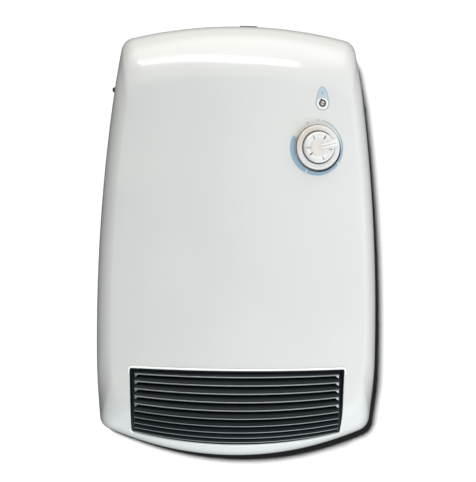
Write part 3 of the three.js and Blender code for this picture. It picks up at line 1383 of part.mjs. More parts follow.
const lampFront = lensBack + GAP;
const lampBack = lampFront + NEON_LENGTH;
const lampProfile = [
  [0, lampFront],
  [NEON_RADIUS / 2, lampFront],
  [NEON_RADIUS, lampFront + NEON_RADIUS / 2],
  [NEON_RADIUS, lampBack],
  [0, lampBack],
];
meshOf('neon_lamp', atLamp(turned(lampProfile, 12)), glass);

const holderFront = bracketBack + GAP;
const holderRing = tubeProfile(
  NEON_RADIUS + GAP,
  NEON_RADIUS + GAP + LAMP_HOLDER_WALL,
  holderFront,
  holderFront + LAMP_HOLDER_LENGTH
);
meshOf('lamp_holder', atLamp(turned([...holderRing, holderRing[0]])), greyPlastic);

// ---------------------------------------------------------------- mains connection

const creamPlastic = new THREE.MeshStandardMaterial({ color: 0xe2ddcb, roughness: 0.5, metalness: 0 });
const brass = new THREE.MeshStandardMaterial({ color: 0xc7a252, roughness: 0.35, metalness: 0.95 });

const terminalFront = seatDepth + TERMINAL_DEPTH;
const wellFloor = terminalFront - TERMINAL_WELL_DEPTH;
const poleX = Array.from(
  { length: TERMINAL_POLES },
  (_, i) => terminalX + (i - (TERMINAL_POLES - 1) / 2) * TERMINAL_PITCH
);

function terminalBlock() {
  const halfWidth = TERMINAL_WIDTH / 2;
  const halfHeight = TERMINAL_HEIGHT / 2;
  const low = TERMINAL_Z - halfHeight;
  const high = TERMINAL_Z + halfHeight;
  const left = terminalX - halfWidth;
  const right = terminalX + halfWidth;
  const block = boxBetween(left, right, seatDepth, terminalFront, low, high);
  const ears = boxBetween(
    left - 2 * BOSS_RADIUS,
    right + 2 * BOSS_RADIUS,
    seatDepth,
    seatDepth + 2 * SHEET,
    TERMINAL_Z - BOSS_RADIUS,
    TERMINAL_Z + BOSS_RADIUS
  );
  const wells = poleX.map((x) =>
    rodInDepth(TERMINAL_WELL_RADIUS, x, TERMINAL_Z, wellFloor, 2 * terminalFront)
  );
  const holes = terminalBosses.map((place) => screwHoleInDepth(place, 0, 2 * terminalFront));
  return cut(union(block, ears), ...wells, ...holes);
}

meshOf('terminal_block', terminalBlock(), creamPlastic);

const wellMiddle = terminalFront - TERMINAL_WELL_DEPTH / 2;
const wellScrews = poleX.map((x) =>
  rodInDepth(TERMINAL_WELL_RADIUS - GAP, x, TERMINAL_Z, wellFloor + GAP, wellMiddle)
);
numbered('terminal_screw', wellScrews, brass);
screwsOnPlate('block_screw', terminalBosses, seatDepth + 2 * SHEET);

// The grommet grips the wall plate's edge from inside; its rear lip is sunk to stay off the wall.
const grommetBody = GROMMET_RADIUS - GAP;
const grommetLip = grommetBody + GROMMET_LIP;
const lipDepth = PLATE_THICKNESS + GAP;
const grommetFront = lipDepth + GROMMET_LIP_THICKNESS;
const grommetProfile = [
  [CABLE_RADIUS, -2 * GAP],
  [CABLE_RADIUS, -grommetFront],
  [grommetLip, -grommetFront],
  [grommetLip, -lipDepth],
  [grommetBody, -lipDepth],
  [grommetBody, -2 * GAP],
  [CABLE_RADIUS, -2 * GAP],
];
meshOf('cable_grommet', turned(grommetProfile).translate(terminalX, 0, ENTRY_Z), blackRubber);

// ---------------------------------------------------------------- internal leads

const leadColours = { live: 0x6b3f22, neutral: 0x2c5f9e, switched: 0x1d1d1f };

function leadAlong(name, colour, points) {
  const curve = new THREE.CatmullRomCurve3(points, false, 'centripetal');
  const sampled = curve.getSpacedPoints(3 * (points.length - 1));
  const material = new THREE.MeshStandardMaterial({ color: colour, roughness: 0.6, metalness: 0 });
  meshOf(name, tubeThrough(sampled, LEAD_RADIUS, 6), material);
}

function tabEnd(index) {
  const z = THERMOSTAT_HEIGHT / 4 + TAB_THICKNESS / 2;
  return new THREE.Vector3(tabPlaces[index], thermostatBack + TAB_LENGTH + GAP, z).applyMatrix4(knobFrame);
}

function behindTab(index, distance) {
  return tabEnd(index).add(new THREE.Vector3(0, distance, 0));
}

const blockTop = TERMINAL_Z + TERMINAL_HEIGHT / 2;
const leadDepth = seatDepth + TERMINAL_DEPTH / 3;
const overBracketZ = KNOB_Z + BRACKET_LEG_ABOVE + 4 * LEAD_RADIUS;

leadAlong('lead_live', leadColours.live, [
  new THREE.Vector3(poleX[0], -leadDepth, blockTop + GAP),
  new THREE.Vector3(poleX[0], -leadDepth, blockTop + TERMINAL_PITCH),
  new THREE.Vector3(poleX[2], -leadDepth, overBracketZ),
  new THREE.Vector3(bracketFootX - BRACKET_WIDTH, -2 * leadDepth, overBracketZ),
  new THREE.Vector3(bracketFootX, -frontDepthAt(KNOB_X) / 2, overBracketZ),
  behindTab(0, 2 * TAB_LENGTH),
  behindTab(0, LEAD_RADIUS),
  tabEnd(0),
]);

const coilMiddleX = (statorLeftX + statorRightX) / 2;
const coilTop = statorTopZ + GAP + COIL_BUILD;
leadAlong('lead_neutral', leadColours.neutral, [
  new THREE.Vector3(poleX[2], -leadDepth, blockTop + GAP),
  new THREE.Vector3(poleX[2], -leadDepth, blockTop + TERMINAL_PITCH),
  new THREE.Vector3(terminalX + TERMINAL_WIDTH, -leadDepth, blockTop + TERMINAL_PITCH),
  new THREE.Vector3(0, -leadDepth, KNOB_Z / 2),
  new THREE.Vector3(coilMiddleX, -DRUM_DEPTH / 2, coilTop + TERMINAL_WIDTH),
  new THREE.Vector3(coilMiddleX, -DRUM_DEPTH, coilTop + TERMINAL_PITCH),
  new THREE.Vector3(coilMiddleX, -DRUM_DEPTH, coilTop + GAP),
]);

const behindMotor = (flangeTop + statorRear) / 2;
const underBracketZ = KNOB_Z - BRACKET_LEG_BELOW - 4 * LEAD_RADIUS;
leadAlong('lead_switched', leadColours.switched, [
  tabEnd(2),
  behindTab(2, LEAD_RADIUS),
  behindTab(2, 2 * TAB_LENGTH),
  new THREE.Vector3(KNOB_X, -frontDepthAt(KNOB_X) / 2, underBracketZ + BRACKET_LEG_BELOW),
  new THREE.Vector3(KNOB_X, -frontDepthAt(KNOB_X) / 2, underBracketZ),
  new THREE.Vector3(statorRightX, -2 * behindMotor, underBracketZ - BRACKET_LEG_ABOVE / 2),
  new THREE.Vector3(statorRightX, -behindMotor, 0),
  new THREE.Vector3(statorLeftX, -behindMotor, DRUM_Z),
  new THREE.Vector3(cutoutEnd + TERMINAL_PITCH, -behindMotor, statorLowZ - TERMINAL_PITCH),
  new THREE.Vector3(cutoutEnd + TERMINAL_PITCH, -cutoutCentre.x, cutoutCentre.y),
  new THREE.Vector3(cutoutEnd + SHEET + GAP, -cutoutCentre.x, cutoutCentre.y),
]);

export default object;
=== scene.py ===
import math
from contextlib import contextmanager

import bpy
from mathutils import Matrix, Vector
from mathutils.bvhtree import BVHTree


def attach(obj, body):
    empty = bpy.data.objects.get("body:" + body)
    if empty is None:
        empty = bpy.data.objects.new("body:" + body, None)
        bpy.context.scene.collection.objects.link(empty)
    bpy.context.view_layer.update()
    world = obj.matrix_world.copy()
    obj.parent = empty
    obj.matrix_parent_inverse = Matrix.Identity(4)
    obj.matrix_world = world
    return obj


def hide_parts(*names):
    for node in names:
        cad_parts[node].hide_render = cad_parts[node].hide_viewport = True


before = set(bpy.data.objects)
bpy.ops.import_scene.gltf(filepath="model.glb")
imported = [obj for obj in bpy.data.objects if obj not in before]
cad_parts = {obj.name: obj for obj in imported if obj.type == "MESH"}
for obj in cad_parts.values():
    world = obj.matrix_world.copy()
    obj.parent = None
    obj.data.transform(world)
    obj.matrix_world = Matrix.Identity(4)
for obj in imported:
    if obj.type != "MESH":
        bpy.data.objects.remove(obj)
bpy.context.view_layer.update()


# -------------------- camera
# A long lens 2.2 m in front of the heater, a little left of its middle and just below it, turned
# slightly about its own axis, as the photograph was taken.
MM = 0.001  # sizes are in millimetres all through, as on the drawings
CAMERA_PLACE = Vector((-65 * MM, -2280 * MM, -15 * MM))
CAMERA_TARGET = Vector((0.8 * MM, -80 * MM, 1.3 * MM))
CAMERA_ROLL = math.radians(0.5)
FRAME_LONG_SIDE = 480 * MM  # what the long side of the picture covers at the target's distance


def add(name, data):
    """A new object of the scene that holds the data."""
    item = bpy.data.objects.new(name, data)
    bpy.context.collection.objects.link(item)
    return item


camera = add("camera", bpy.data.cameras.new("camera"))
aim = CAMERA_TARGET - CAMERA_PLACE
camera.data.lens = camera.data.sensor_width * aim.length / FRAME_LONG_SIDE
camera.location = CAMERA_PLACE
held = aim.to_track_quat("-Z", "Y").to_matrix() @ Matrix.Rotation(CAMERA_ROLL, 3, "Z")
camera.rotation_euler = held.to_euler()
bpy.context.scene.camera = camera
bpy.context.scene.view_settings.view_transform = "Standard"


# -------------------- light, wall and floor
# The heater hangs on a white studio wall over a pale floor. Two strip lamps end to end draw the
# bright line across the top of the cover, and a low lamp fills from below. The room itself is
# bright to the right and overhead, and dark to the left and behind.
class Socket:
    """A node's socket: arithmetic on it adds the Math nodes."""

    def __init__(self, tree, socket):
        self.tree = tree
        self.socket = socket

    def __add__(self, other):
        return self.tree.math("ADD", self, other)

    def __sub__(self, other):
        return self.tree.math("SUBTRACT", self, other)

    def __rsub__(self, other):
        return self.tree.math("SUBTRACT", other, self)

    def __mul__(self, other):
        return self.tree.math("MULTIPLY", self, other)

    __radd__ = __add__
    __rmul__ = __mul__

    def between(self, low, high):
        """0 below low, 1 above high and smooth between them."""
        inputs = {"Value": self, "From Min": low, "From Max": high}
        return self.tree.node("ShaderNodeMapRange", {"interpolation_type": "SMOOTHSTEP"}, inputs)


class Tree:
    """The nodes of a finish or of the room; node() adds any that isn't arithmetic."""

    def __init__(self, owner):
        owner.use_nodes = True
        self.nodes = owner.node_tree.nodes
        self.links = owner.node_tree.links
        self.shader = self.nodes.get("Principled BSDF")

    def feed(self, socket, value):
        if isinstance(value, Socket):
            self.links.new(value.socket, socket)
        else:
            socket.default_value = value

    def node(self, kind, settings=None, inputs=None, output=0):
        node = self.nodes.new(kind)
        for name, value in (settings or {}).items():
            setattr(node, name, value)
        for name, value in (inputs or {}).items():
            self.feed(node.inputs[name], value)
        return Socket(self, node.outputs[output])

    def math(self, operation, *values):
        return self.node("ShaderNodeMath", {"operation": operation}, dict(enumerate(values)))

    def mix(self, factor, a, b):
        """Colour a where factor is 0 and colour b where it is 1."""
        a, b = ((*c, 1) if isinstance(c, tuple) else c for c in (a, b))
        return self.node("ShaderNodeMix", {"data_type": "RGBA"}, {0: factor, 6: a, 7: b}, 2)

    def place(self, centre=(0, 0, 0), stretch=(1, 1, 1)):
        """Object coordinates in metres about a centre, stretched."""
        point = self.node("ShaderNodeTexCoord", output="Object")
        shift = tuple(-c * s for c, s in zip(centre, stretch))
        inputs = {"Vector": point, "Location": shift, "Scale": stretch}
        return self.node("ShaderNodeMapping", {}, inputs)

    def noise(self, vector, scale, detail=2.0, roughness=0.5):
        inputs = {"Vector": vector, "Scale": scale, "Detail": detail, "Roughness": roughness}
        return self.node("ShaderNodeTexNoise", {}, inputs)

    def axes(self, vector):
        split = self.node("ShaderNodeSeparateXYZ", {}, {0: vector})
        return [Socket(self, output) for output in split.socket.node.outputs]

    def bump(self, height, distance, strength=1.0):
        inputs = {"Height": height, "Distance": distance, "Strength": strength}
        return self.node("ShaderNodeBump", {}, inputs)

    def set(self, **values):
        """Sockets of the surface shader by name, with underscores for spaces."""
        for name, value in values.items():
            self.feed(self.shader.inputs[name.replace("_", " ")], value)


def finish_named(name):
    material = bpy.data.materials.new(name)
    return material, Tree(material)


ROOM_LEVEL, ROOM_TO_RIGHT, ROOM_TO_TOP = 0.345, 0.58, 2.2  # straight ahead, and how it rises
ROOM_LEAST, ROOM_MOST = 0.02, 0.95
CEILING, FLOOR = 1.35, 0.8
DARKER_BEHIND = 0.76
COOL, WARM, WHITE = (0.935, 0.985, 1.0), (1.0, 0.985, 0.95), (1.0, 1.0, 1.0)
world = bpy.data.worlds.new("studio")
bpy.context.scene.world = world
sky = Tree(world)
right, back, up = sky.axes(sky.node("ShaderNodeTexCoord", output="Generated"))
sideways = ROOM_LEVEL + ROOM_TO_RIGHT * (right + ROOM_TO_TOP * up.between(0.0, 0.55))
sideways = sky.math("MINIMUM", sky.math("MAXIMUM", sideways, ROOM_LEAST), ROOM_MOST)
ceiling = CEILING * up.between(0.55, 0.80)
floor_light = FLOOR * (0 - up).between(0.05, 0.65)
level = (sideways + ceiling) * (1 - DARKER_BEHIND * back.between(-0.1, 0.4)) + floor_light
room_colour = sky.mix(up.between(-0.5, 0.6), COOL, WARM)
rays = ("Is Camera Ray", "Is Transmission Ray")
seen = sky.math("MAXIMUM", *[sky.node("ShaderNodeLightPath", output=ray) for ray in rays])
background = sky.nodes["Background"]
sky.feed(background.inputs["Color"], sky.mix(seen, room_colour, WHITE))
sky.feed(background.inputs["Strength"], level + seen * (1 - level))


def lamp(name, place, target, along, size, watts, colour):
    """An area lamp with its long side along a direction, turned to face the target."""
    data = bpy.data.lights.new(name, "AREA")
    data.shape = "RECTANGLE"
    data.size, data.size_y = size
    data.energy = watts
    data.color = colour
    light = add(name, data)
    along = Vector(along).normalized()
    facing = (Vector(place) - Vector(target)).cross(along).cross(along).normalized() * -1
    light.rotation_euler = Matrix((along, facing.cross(along), facing)).transposed().to_euler()
    light.location = place
    return light


# The strips only shine in the gloss; the room's own light falls on everything.
STRIP_HEIGHT, STRIP_POWER = 0.32, 23  # metres, watts for each square metre
STRIP_TARGET = (-0.05, -0.1, 0.19)  # the top roll of the cover
for name, place, run, length in (
    ("strip_left", (-1.31, -1.45, 2.19), (1.87, 0, -1.335), 3.24),
    ("strip_right", (0.37, -1.45, 1.27), (0.733, 0, 0.05), 0.76),
):
    watts = STRIP_POWER * length * STRIP_HEIGHT
    strip = lamp(name, place, STRIP_TARGET, run, (length, STRIP_HEIGHT), watts, WARM)
    strip.visible_diffuse = False
LOW_LAMP_PLACE, LOW_LAMP_TARGET = (0.5, -1.3, -1.5), (0.05, -0.1, -0.2)
lamp("low_lamp", LOW_LAMP_PLACE, LOW_LAMP_TARGET, (1, 0, 0), (1.4, 0.8), 9, (0.93, 0.985, 1.0))


def stage_finish(name, colour, glow):
    """Seen from its front side only, so that it never stands between the camera and the heater."""
    material, tree = finish_named(name)
    facing = 1 - tree.node("ShaderNodeNewGeometry", output="Backfacing")
    shown = tree.node("ShaderNodeLightPath", output="Is Camera Ray") * facing
    tree.set(Base_Color=(colour, colour, colour, 1), Roughness=1.0, Specular_IOR_Level=0.0)
    tree.set(Emission_Color=(*WHITE, 1), Emission_Strength=glow)
    clear = tree.node("ShaderNodeBsdfTransparent")
    surface = Socket(tree, tree.shader.outputs[0])
    mixed = tree.node("ShaderNodeMixShader", {}, {0: shown, 1: clear, 2: surface})
    tree.feed(tree.nodes["Material Output"].inputs["Surface"], mixed)
    return material


def stage_sheet(name, place, turn, material):
    bpy.ops.object.select_all(action="DESELECT")
    bpy.ops.mesh.primitive_plane_add(size=SHEET_SIDE, location=place, rotation=turn)
    sheet = bpy.context.object
    sheet.name = name
    sheet.data.materials.append(material)
    return sheet


# The wall has its own sun, which lights nothing else: it is white there and black in the small
# crisp shadow below and right of the heater.
SHEET_SIDE, WALL_GAP, FLOOR_Z = 8.0, 1 * MM, -0.75
WALL_GREY, FLOOR_GREY, FLOOR_GLOW = 0.02, 0.8, 0.25
SUN_WAY, SUN_WIDTH, SUN_ON_WALL = (0.172, 1, -0.205), 5.5, 1.1
UPRIGHT, FLAT = (math.radians(90), 0, 0), (0, 0, 0)
wall = stage_sheet("studio_wall", (0, WALL_GAP, 0), UPRIGHT, stage_finish("wall", WALL_GREY, 0.0))
floor_place = (0, -SHEET_SIDE / 2, FLOOR_Z)
stage_sheet("studio_floor", floor_place, FLAT, stage_finish("floor", FLOOR_GREY, FLOOR_GLOW))
sun = add("wall_sun", bpy.data.lights.new("wall_sun", "SUN"))
sun.rotation_euler = Vector(SUN_WAY).to_track_quat("-Z", "Y").to_euler()
sun.data.angle = math.radians(SUN_WIDTH)
sun.data.energy = SUN_ON_WALL * math.pi / WALL_GREY
sun_lit = bpy.data.collections.new("lit_by_the_wall_sun")
sun_lit.objects.link(wall)
sun.light_linking.receiver_collection = sun_lit


# -------------------- cover
# One white gloss plastic moulding, 2.5 mm thick, with a barrel outline, a gently bulged face and
# rolled edges. It slips over the wall plate and is held by the roof catch and a screw each side.
WIDEST_Z = -80
DEPTH = 128
BULGE_RADIUS = 380
WALL = 2.5
REAR = 1
SIDE_ROLL = (16, 30)
TOP_ROLL = (55, 50)
BOTTOM_ROLL = (52, 92)
LOW_BLEND = (10, 95)
TOP_BLEND = (10, 65)
RIM = {"half": 139, "side": 1700, "top": 215, "top_r": 500, "low": -215, "low_r": 337, "corner": 14}
FACE = {
    "half": RIM["half"] - SIDE_ROLL[0],
    "side": RIM["side"] - SIDE_ROLL[0],
    "top": RIM["top"] - TOP_ROLL[0],
    "top_r": RIM["top_r"] - TOP_ROLL[0],
    "low": RIM["low"] + BOTTOM_ROLL[0],
    "low_r": 1000,
    "corner": 30,
}


def face_depth(x):
    return DEPTH - x**2 / (2 * BULGE_RADIUS)


def point_on(x, depth, z):
    return Vector((x * MM, -depth * MM, z * MM))


def only(piece):
    bpy.ops.object.select_all(action="DESELECT")
    piece.select_set(True)
    bpy.context.view_layer.objects.active = piece


def modify(piece, kind, **settings):
    """Gives a piece a modifier and applies it."""
    only(piece)
    modifier = piece.modifiers.new(kind.lower(), kind)
    for name, value in settings.items():
        setattr(modifier, name, value)
    bpy.ops.object.modifier_apply(modifier=modifier.name)


def carve(piece, *cutters, operation="DIFFERENCE"):
    for cutter in cutters:
        modify(piece, "BOOLEAN", object=cutter, operation=operation, solver="EXACT")
        bpy.data.objects.remove(cutter)


def settle(piece):
    """Leaves a piece's place in its mesh, with the object itself at the origin."""
    only(piece)
    bpy.ops.object.transform_apply(location=True, rotation=True, scale=True)


def smooth(piece, degrees=35):
    only(piece)
    bpy.ops.object.shade_smooth_by_angle(angle=math.radians(degrees))


@contextmanager
def editing(piece):
    """Edit mode on one piece, for the operators in the with block."""
    only(piece)
    bpy.ops.object.mode_set(mode="EDIT")
    yield
    bpy.ops.object.mode_set(mode="OBJECT")


def tidy_mesh(piece, distance=0.01):
    """Merges doubles and turns the faces outwards."""
    with editing(piece):
        bpy.ops.mesh.select_all(action="SELECT")
        bpy.ops.mesh.remove_doubles(threshold=distance * MM)
        bpy.ops.mesh.normals_make_consistent(inside=False)


def skin(name, points, faces, edges=()):
    mesh = bpy.data.meshes.new(name)
    mesh.from_pydata(points, edges, faces)
    return add(name, mesh)


def strips(count, rows, closed=False):
    """The faces between rows of count points, and from the last row to the first if closed."""
    faces = []
    for row in range(rows if closed else rows - 1):
        low, high = row * count, (row + 1) % rows * count
        for i in range(count):
            j = (i + 1) % count
            faces.append((low + i, low + j, high + j, high + i))
    return faces


def fit(piece, body, slot, material, *nodes):
    """Gives a finished piece its finish, its body and the drawn parts that it stands for."""
    piece.data.materials.clear()
    piece.data.materials.append(material)
    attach(piece, body)
    if nodes:
        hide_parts(*nodes)


def arc(centre, radius, start, end, steps):
    angles = [start + (end - start) * i / steps for i in range(steps)]
    return [centre + radius * Vector((math.cos(a), math.sin(a))) for a in angles]


def circles_meet(centre_a, radius_a, centre_b, radius_b, upper):
    """The point right of the middle where two circles meet."""
    between = centre_b - centre_a
    distance = between.length
    along = (radius_a**2 - radius_b**2 + distance**2) / (2 * distance)
    across = math.sqrt(radius_a**2 - along**2)
    unit = between / distance
    foot = centre_a + unit * along
    normal = Vector((-unit.y, unit.x)) * across
    return max((foot + normal, foot - normal), key=lambda p: p.y if upper else -p.y)


def half_outline(shape, steps):
    """The right half of an outline, from its lowest point to its highest."""
    side = Vector((shape["half"] - shape["side"], WIDEST_Z))
    top = Vector((0, shape["top"] - shape["top_r"]))
    low = Vector((0, shape["low"] + shape["low_r"]))
    corner = shape["corner"]
    low_corner = circles_meet(side, shape["side"] - corner, low, shape["low_r"] - corner, False)
    top_corner = circles_meet(side, shape["side"] - corner, top, shape["top_r"] - corner, True)

    def angle(centre, point):
        return math.atan2(point.y - centre.y, point.x - centre.x)

    a, b = angle(low, low_corner), angle(side, low_corner)
    c, d = angle(side, top_corner), angle(top, top_corner)
    points = arc(low, shape["low_r"], -math.pi / 2, a, steps[0])
    points += arc(low_corner, corner, a, b, steps[1])
    points += arc(side, shape["side"], b, c, steps[2])
    points += arc(top_corner, corner, c, d, steps[1])
    points += arc(top, shape["top_r"], d, math.pi / 2, steps[3])
    points.append(Vector((0, shape["top"])))
    points[0].x = 0
    return points


def smoothstep(value, low, high):
    t = min(max((value - low) / (high - low), 0), 1)
    return t * t * (3 - 2 * t)


def roll_depth(z):
    low = smoothstep(z - RIM["low"], *LOW_BLEND)
    high = 1 - smoothstep(RIM["top"] - z, *TOP_BLEND)
    depth = BOTTOM_ROLL[1] + (SIDE_ROLL[1] - BOTTOM_ROLL[1]) * low
    return depth + (TOP_ROLL[1] - SIDE_ROLL[1]) * high


def cover_skin():
    steps = (30, 14, 44, 30)
    rings, walls, columns = 18, 6, 56
    rim, face = half_outline(RIM, steps), half_outline(FACE, steps)
    last = len(rim) - 1
    count = 2 * last
    points = []

    def ring_point(i, turn, rear=None):
        side, at = (1, i) if i <= last else (-1, count - i)
        x, z = rim[at].lerp(face[at], 1 - math.cos(turn))
        depth = face_depth(x) - roll_depth(rim[at].y) * (1 - math.sin(turn))
        if rear is not None:
            depth = REAR + (depth - REAR) * rear
        return point_on(side * x, depth, z)

    for ring in range(walls):
        points += [ring_point(i, 0, ring / walls) for i in range(count)]
    for ring in range(rings + 1):
        points += [ring_point(i, ring / rings * math.pi / 2) for i in range(count)]
    faces = strips(count, rings + walls + 1)
    base = (rings + walls) * count
    rows = [[base]]
    for i in range(1, last):
        edge, inner = points[base + i], []
        for column in range(1, columns):
            x = edge.x * (2 * column / columns - 1) / MM
            inner.append(len(points))
            points.append(point_on(x, face_depth(x), edge.z / MM))
        rows.append([base + count - i, *inner, base + i])
    rows.append([base + last])
    for low, high in zip(rows, rows[1:]):
        for c in range(columns):
            a, b = (low[min(k, len(low) - 1)] for k in (c, c + 1))
            d, e = (high[min(k, len(high) - 1)] for k in (c, c + 1))
            faces.append(tuple(dict.fromkeys((a, b, e, d))))
    return skin("cover", points, faces)


def block(name, size, place=(0, 0, 0)):
    """A cube primitive brought to its size and place, in millimetres."""
    bpy.ops.object.select_all(action="DESELECT")
    bpy.ops.mesh.primitive_cube_add(size=1, location=[p * MM for p in place])
    piece = bpy.context.object
    piece.name = name
    piece.scale = [s * MM for s in size]
    settle(piece)
    return piece


def join(name, pieces):
    bpy.ops.object.select_all(action="DESELECT")
    for piece in pieces:
        piece.select_set(True)
    bpy.context.view_layer.objects.active = pieces[0]
    bpy.ops.object.join()
    bpy.context.object.name = name
    return bpy.context.object


def gloss_white():
    material, tree = finish_named("cover_white")
    here = tree.place()
    cloud = tree.noise(here, 9.0, 3.0)
    speck = tree.noise(here, 900.0, 2.0)
    skin_ripple = tree.noise(tree.place(stretch=(1, 1, 0.55)), 70.0, 2.0, 0.4)
    tint = tree.mix(cloud.between(0.3, 0.7), (0.705, 0.712, 0.708), (0.735, 0.738, 0.730))
    tree.set(Base_Color=tree.mix(speck.between(0.68, 0.8) * 0.25, tint, (0.62, 0.62, 0.60)))
    tree.set(Roughness=0.13 + 0.10 * cloud.between(0.2, 0.8) + 0.05 * speck)
    tree.set(Normal=tree.bump(skin_ripple + 0.05 * speck, 0.00005, 0.6))
    tree.set(Coat_Weight=0.8, Coat_Roughness=0.10)
    return material


OUTLET = {"top": -125.5, "low": -199.5, "top_half": 105.5, "low_half": 103.5, "corner": 3}
OUTLET_SAG = (1.8, 11)


def outlet_outline(grow, steps=40):
    """The outlet's edge seen from the front: parabolas above and below, small round corners."""
    r = OUTLET["corner"] + grow * 0.6
    top_half, low_half = OUTLET["top_half"] + grow, OUTLET["low_half"] + grow
    top, low = OUTLET["top"] + grow, OUTLET["low"] - grow

    def edge(level, sag, half, way):
        across = [way * (half - r) * (2 * i / steps - 1) for i in range(steps + 1)]
        return [Vector((x, level + sag * (x / half) ** 2)) for x in across]

    path = edge(low, OUTLET_SAG[1], low_half, 1)
    low_z = low + OUTLET_SAG[1]
    path += corner_points(path[-1], Vector((low_half, low_z)), Vector((low_half, low_z + r)))
    top_z = top + OUTLET_SAG[0]
    upper = edge(top, OUTLET_SAG[0], top_half, -1)
    path += corner_points(Vector((top_half, top_z - r)), Vector((top_half, top_z)), upper[0])
    path += upper[1:]
    left_top, left_low = Vector((-top_half, top_z)), Vector((-low_half, low_z))
    path += corner_points(upper[-1], left_top, left_top - Vector((0, r)))[1:]
    path += corner_points(left_low + Vector((0, r)), left_low, path[0])[:-1]
    return path


def corner_points(start, corner, end, steps=6):
    """A quadratic curve from start to end, drawn towards the corner."""
    points = []
    for i in range(steps + 1):
        t = i / steps
        points.append(start * (1 - t) ** 2 + corner * (2 * t * (1 - t)) + end * t**2)
    return points


def prism(name, outline, depth_low, depth_high):
    count = len(outline)
    points = [point_on(p.x, depth, p.y) for depth in (depth_low, depth_high) for p in outline]
    ends = [tuple(range(count)), tuple(reversed(range(count, 2 * count)))]
    piece = skin(name, points, strips(count, 2) + ends)
    tidy_mesh(piece)
    return piece


KNOB = (76.3, 93.2)
tilt = math.asin(KNOB[0] / BULGE_RADIUS)
knob_foot = point_on(KNOB[0], face_depth(KNOB[0]), KNOB[1])
knob_frame = Matrix.Translation(knob_foot) @ Matrix.Rotation(tilt, 4, "Z")
LENS = (5.1, 43.6)
SCREW_Z, SCREW_DEPTH = 152, 62
side_x = RIM["half"] - RIM["side"] + math.sqrt(RIM["side"] ** 2 - (SCREW_Z - WIDEST_Z) ** 2)


def rod(name, radius, length, frame_of, x, y, z, turn="Y", sides=48):
    """A round bar by its middle in a frame, along the frame's X or Y."""
    bpy.ops.mesh.primitive_cylinder_add(vertices=sides, radius=radius * MM, depth=length * MM)
    bar = bpy.context.object
    bar.name = name
    lay = Matrix.Rotation(math.pi / 2, 4, "Y" if turn == "X" else "X")
    bar.matrix_world = frame_of @ Matrix.Translation((x * MM, y * MM, z * MM)) @ lay
    settle(bar)
    return bar


def slot_cutter(number):
    """The cutter of one inlet slot, with all its edges rounded, standing in the roof."""
    x = (number - (SLOTS - 1) / 2) * SLOT_PITCH
    roof = RIM["top"] - RIM["top_r"] + math.sqrt(RIM["top_r"] ** 2 - x**2)
    cutter = block("slot_cutter", SLOT_SIZE, (x, -SLOT_DEPTH, roof - WALL))
    with editing(cutter):
        bpy.ops.mesh.select_all(action="SELECT")
        bpy.ops.mesh.bevel(offset=SLOT_ROUNDING * MM, segments=5, affect="EDGES")
    return cutter


SLOTS, SLOT_PITCH, SLOT_DEPTH = 19, 8.6, 37
SLOT_SIZE, SLOT_ROUNDING = (4, 42, 12), 1.9
SPINDLE_HOLE, LENS_HOLE, SCREW_HOLE = 4.3, 3.9, 1.7
CATCH_X, CATCH_SIZE = 9.5, (18.6, 9.6, 14)
OUTLET_CUT, HOLE_CUT = (40, 150), 20
cover = cover_skin()
skin_points = [vertex.co for vertex in cover.data.vertices]
cover_form = BVHTree.FromPolygons(skin_points, [p.vertices for p in cover.data.polygons])
modify(cover, "SOLIDIFY", thickness=WALL * MM, offset=-1, use_even_offset=True)
carve(cover, prism("outlet_cutter", outlet_outline(0), *OUTLET_CUT))
carve(cover, join("slot_cutters", [slot_cutter(i) for i in range(SLOTS)]))
carve(cover, rod("spindle_cutter", SPINDLE_HOLE, HOLE_CUT, knob_frame, 0, 0, 0))
carve(cover, rod("lens_cutter", LENS_HOLE, HOLE_CUT, knob_frame, LENS[0], 0, LENS[1]))
through = 2 * side_x + 10
carve(cover, rod("screw_cutter", SCREW_HOLE, through, Matrix(), 0, -SCREW_DEPTH, SCREW_Z, "X", 16))
carve(cover, block("catch_cutter", CATCH_SIZE, (CATCH_X, -68.5, 210)))
smooth(cover, 30)
cover_white = gloss_white()
fit(cover, "case", "cover_plastic", cover_white, "front_casing")


# -------------------- outlet lip
# The edge of the outlet opening is a raised bead of the cover's own moulding. It is coloured
# much whiter than the face as a painted highlight, and half of it is sunk into the wall.
def on_cover(x, z, proud=0.0):
    """The point of the cover's face at x, z of the front view, moved out of the face by proud."""
    point, normal = cover_form.ray_cast(Vector((x * MM, -1, z * MM)), Vector((0, 1, 0)))[:2]
    return point + normal * (-math.copysign(proud * MM, normal.y))


def bead_along(name, points, radius, closed=True):
    curve = bpy.data.curves.new(name, "CURVE")
    curve.dimensions = "3D"
    curve.bevel_depth = radius * MM
    curve.bevel_resolution = 4
    spline = curve.splines.new("POLY")
    spline.points.add(len(points) - 1)
    for target, point in zip(spline.points, points):
        target.co = (*point, 1)
    spline.use_cyclic_u = closed
    only(add(name, curve))
    bpy.ops.object.convert(target="MESH")
    return bpy.context.object


def grained(name, low, high, scale, rough, stretch=(1, 1, 1), sharp=None, detail=2.0, **others):
    """A finish of two shades in a fine grain, with its least and most roughness."""
    material, tree = finish_named(name)
    grain = tree.noise(tree.place(stretch=stretch), scale, detail)
    shade = grain.between(*sharp) if sharp else grain
    tree.set(Base_Color=tree.mix(shade, low, high), **others)
    tree.set(Roughness=rough[0] + (rough[1] - rough[0]) * grain)
    return material


LIP_RADIUS, LIP_OUT, LIP_SUNK = 1.0, 0.75, 0.4
# The lip's near-white colour is painted highlight; the knob's two ridges share this finish.
LIP_HIGHLIGHT_WHITE = ((0.92, 0.93, 0.93), (0.97, 0.97, 0.96), 500.0, (0.10, 0.18))
lip_path = [on_cover(p.x, p.y, -LIP_SUNK) for p in outlet_outline(LIP_OUT)]
lip = bead_along("outlet_lip", lip_path, LIP_RADIUS)
tidy_mesh(lip)
smooth(lip, 60)
painted_highlight_white = grained("bright_white_painted_highlight", *LIP_HIGHLIGHT_WHITE, Coat_Weight=0.4, Coat_Roughness=0.05)
fit(lip, "case", "cover_plastic", painted_highlight_white)
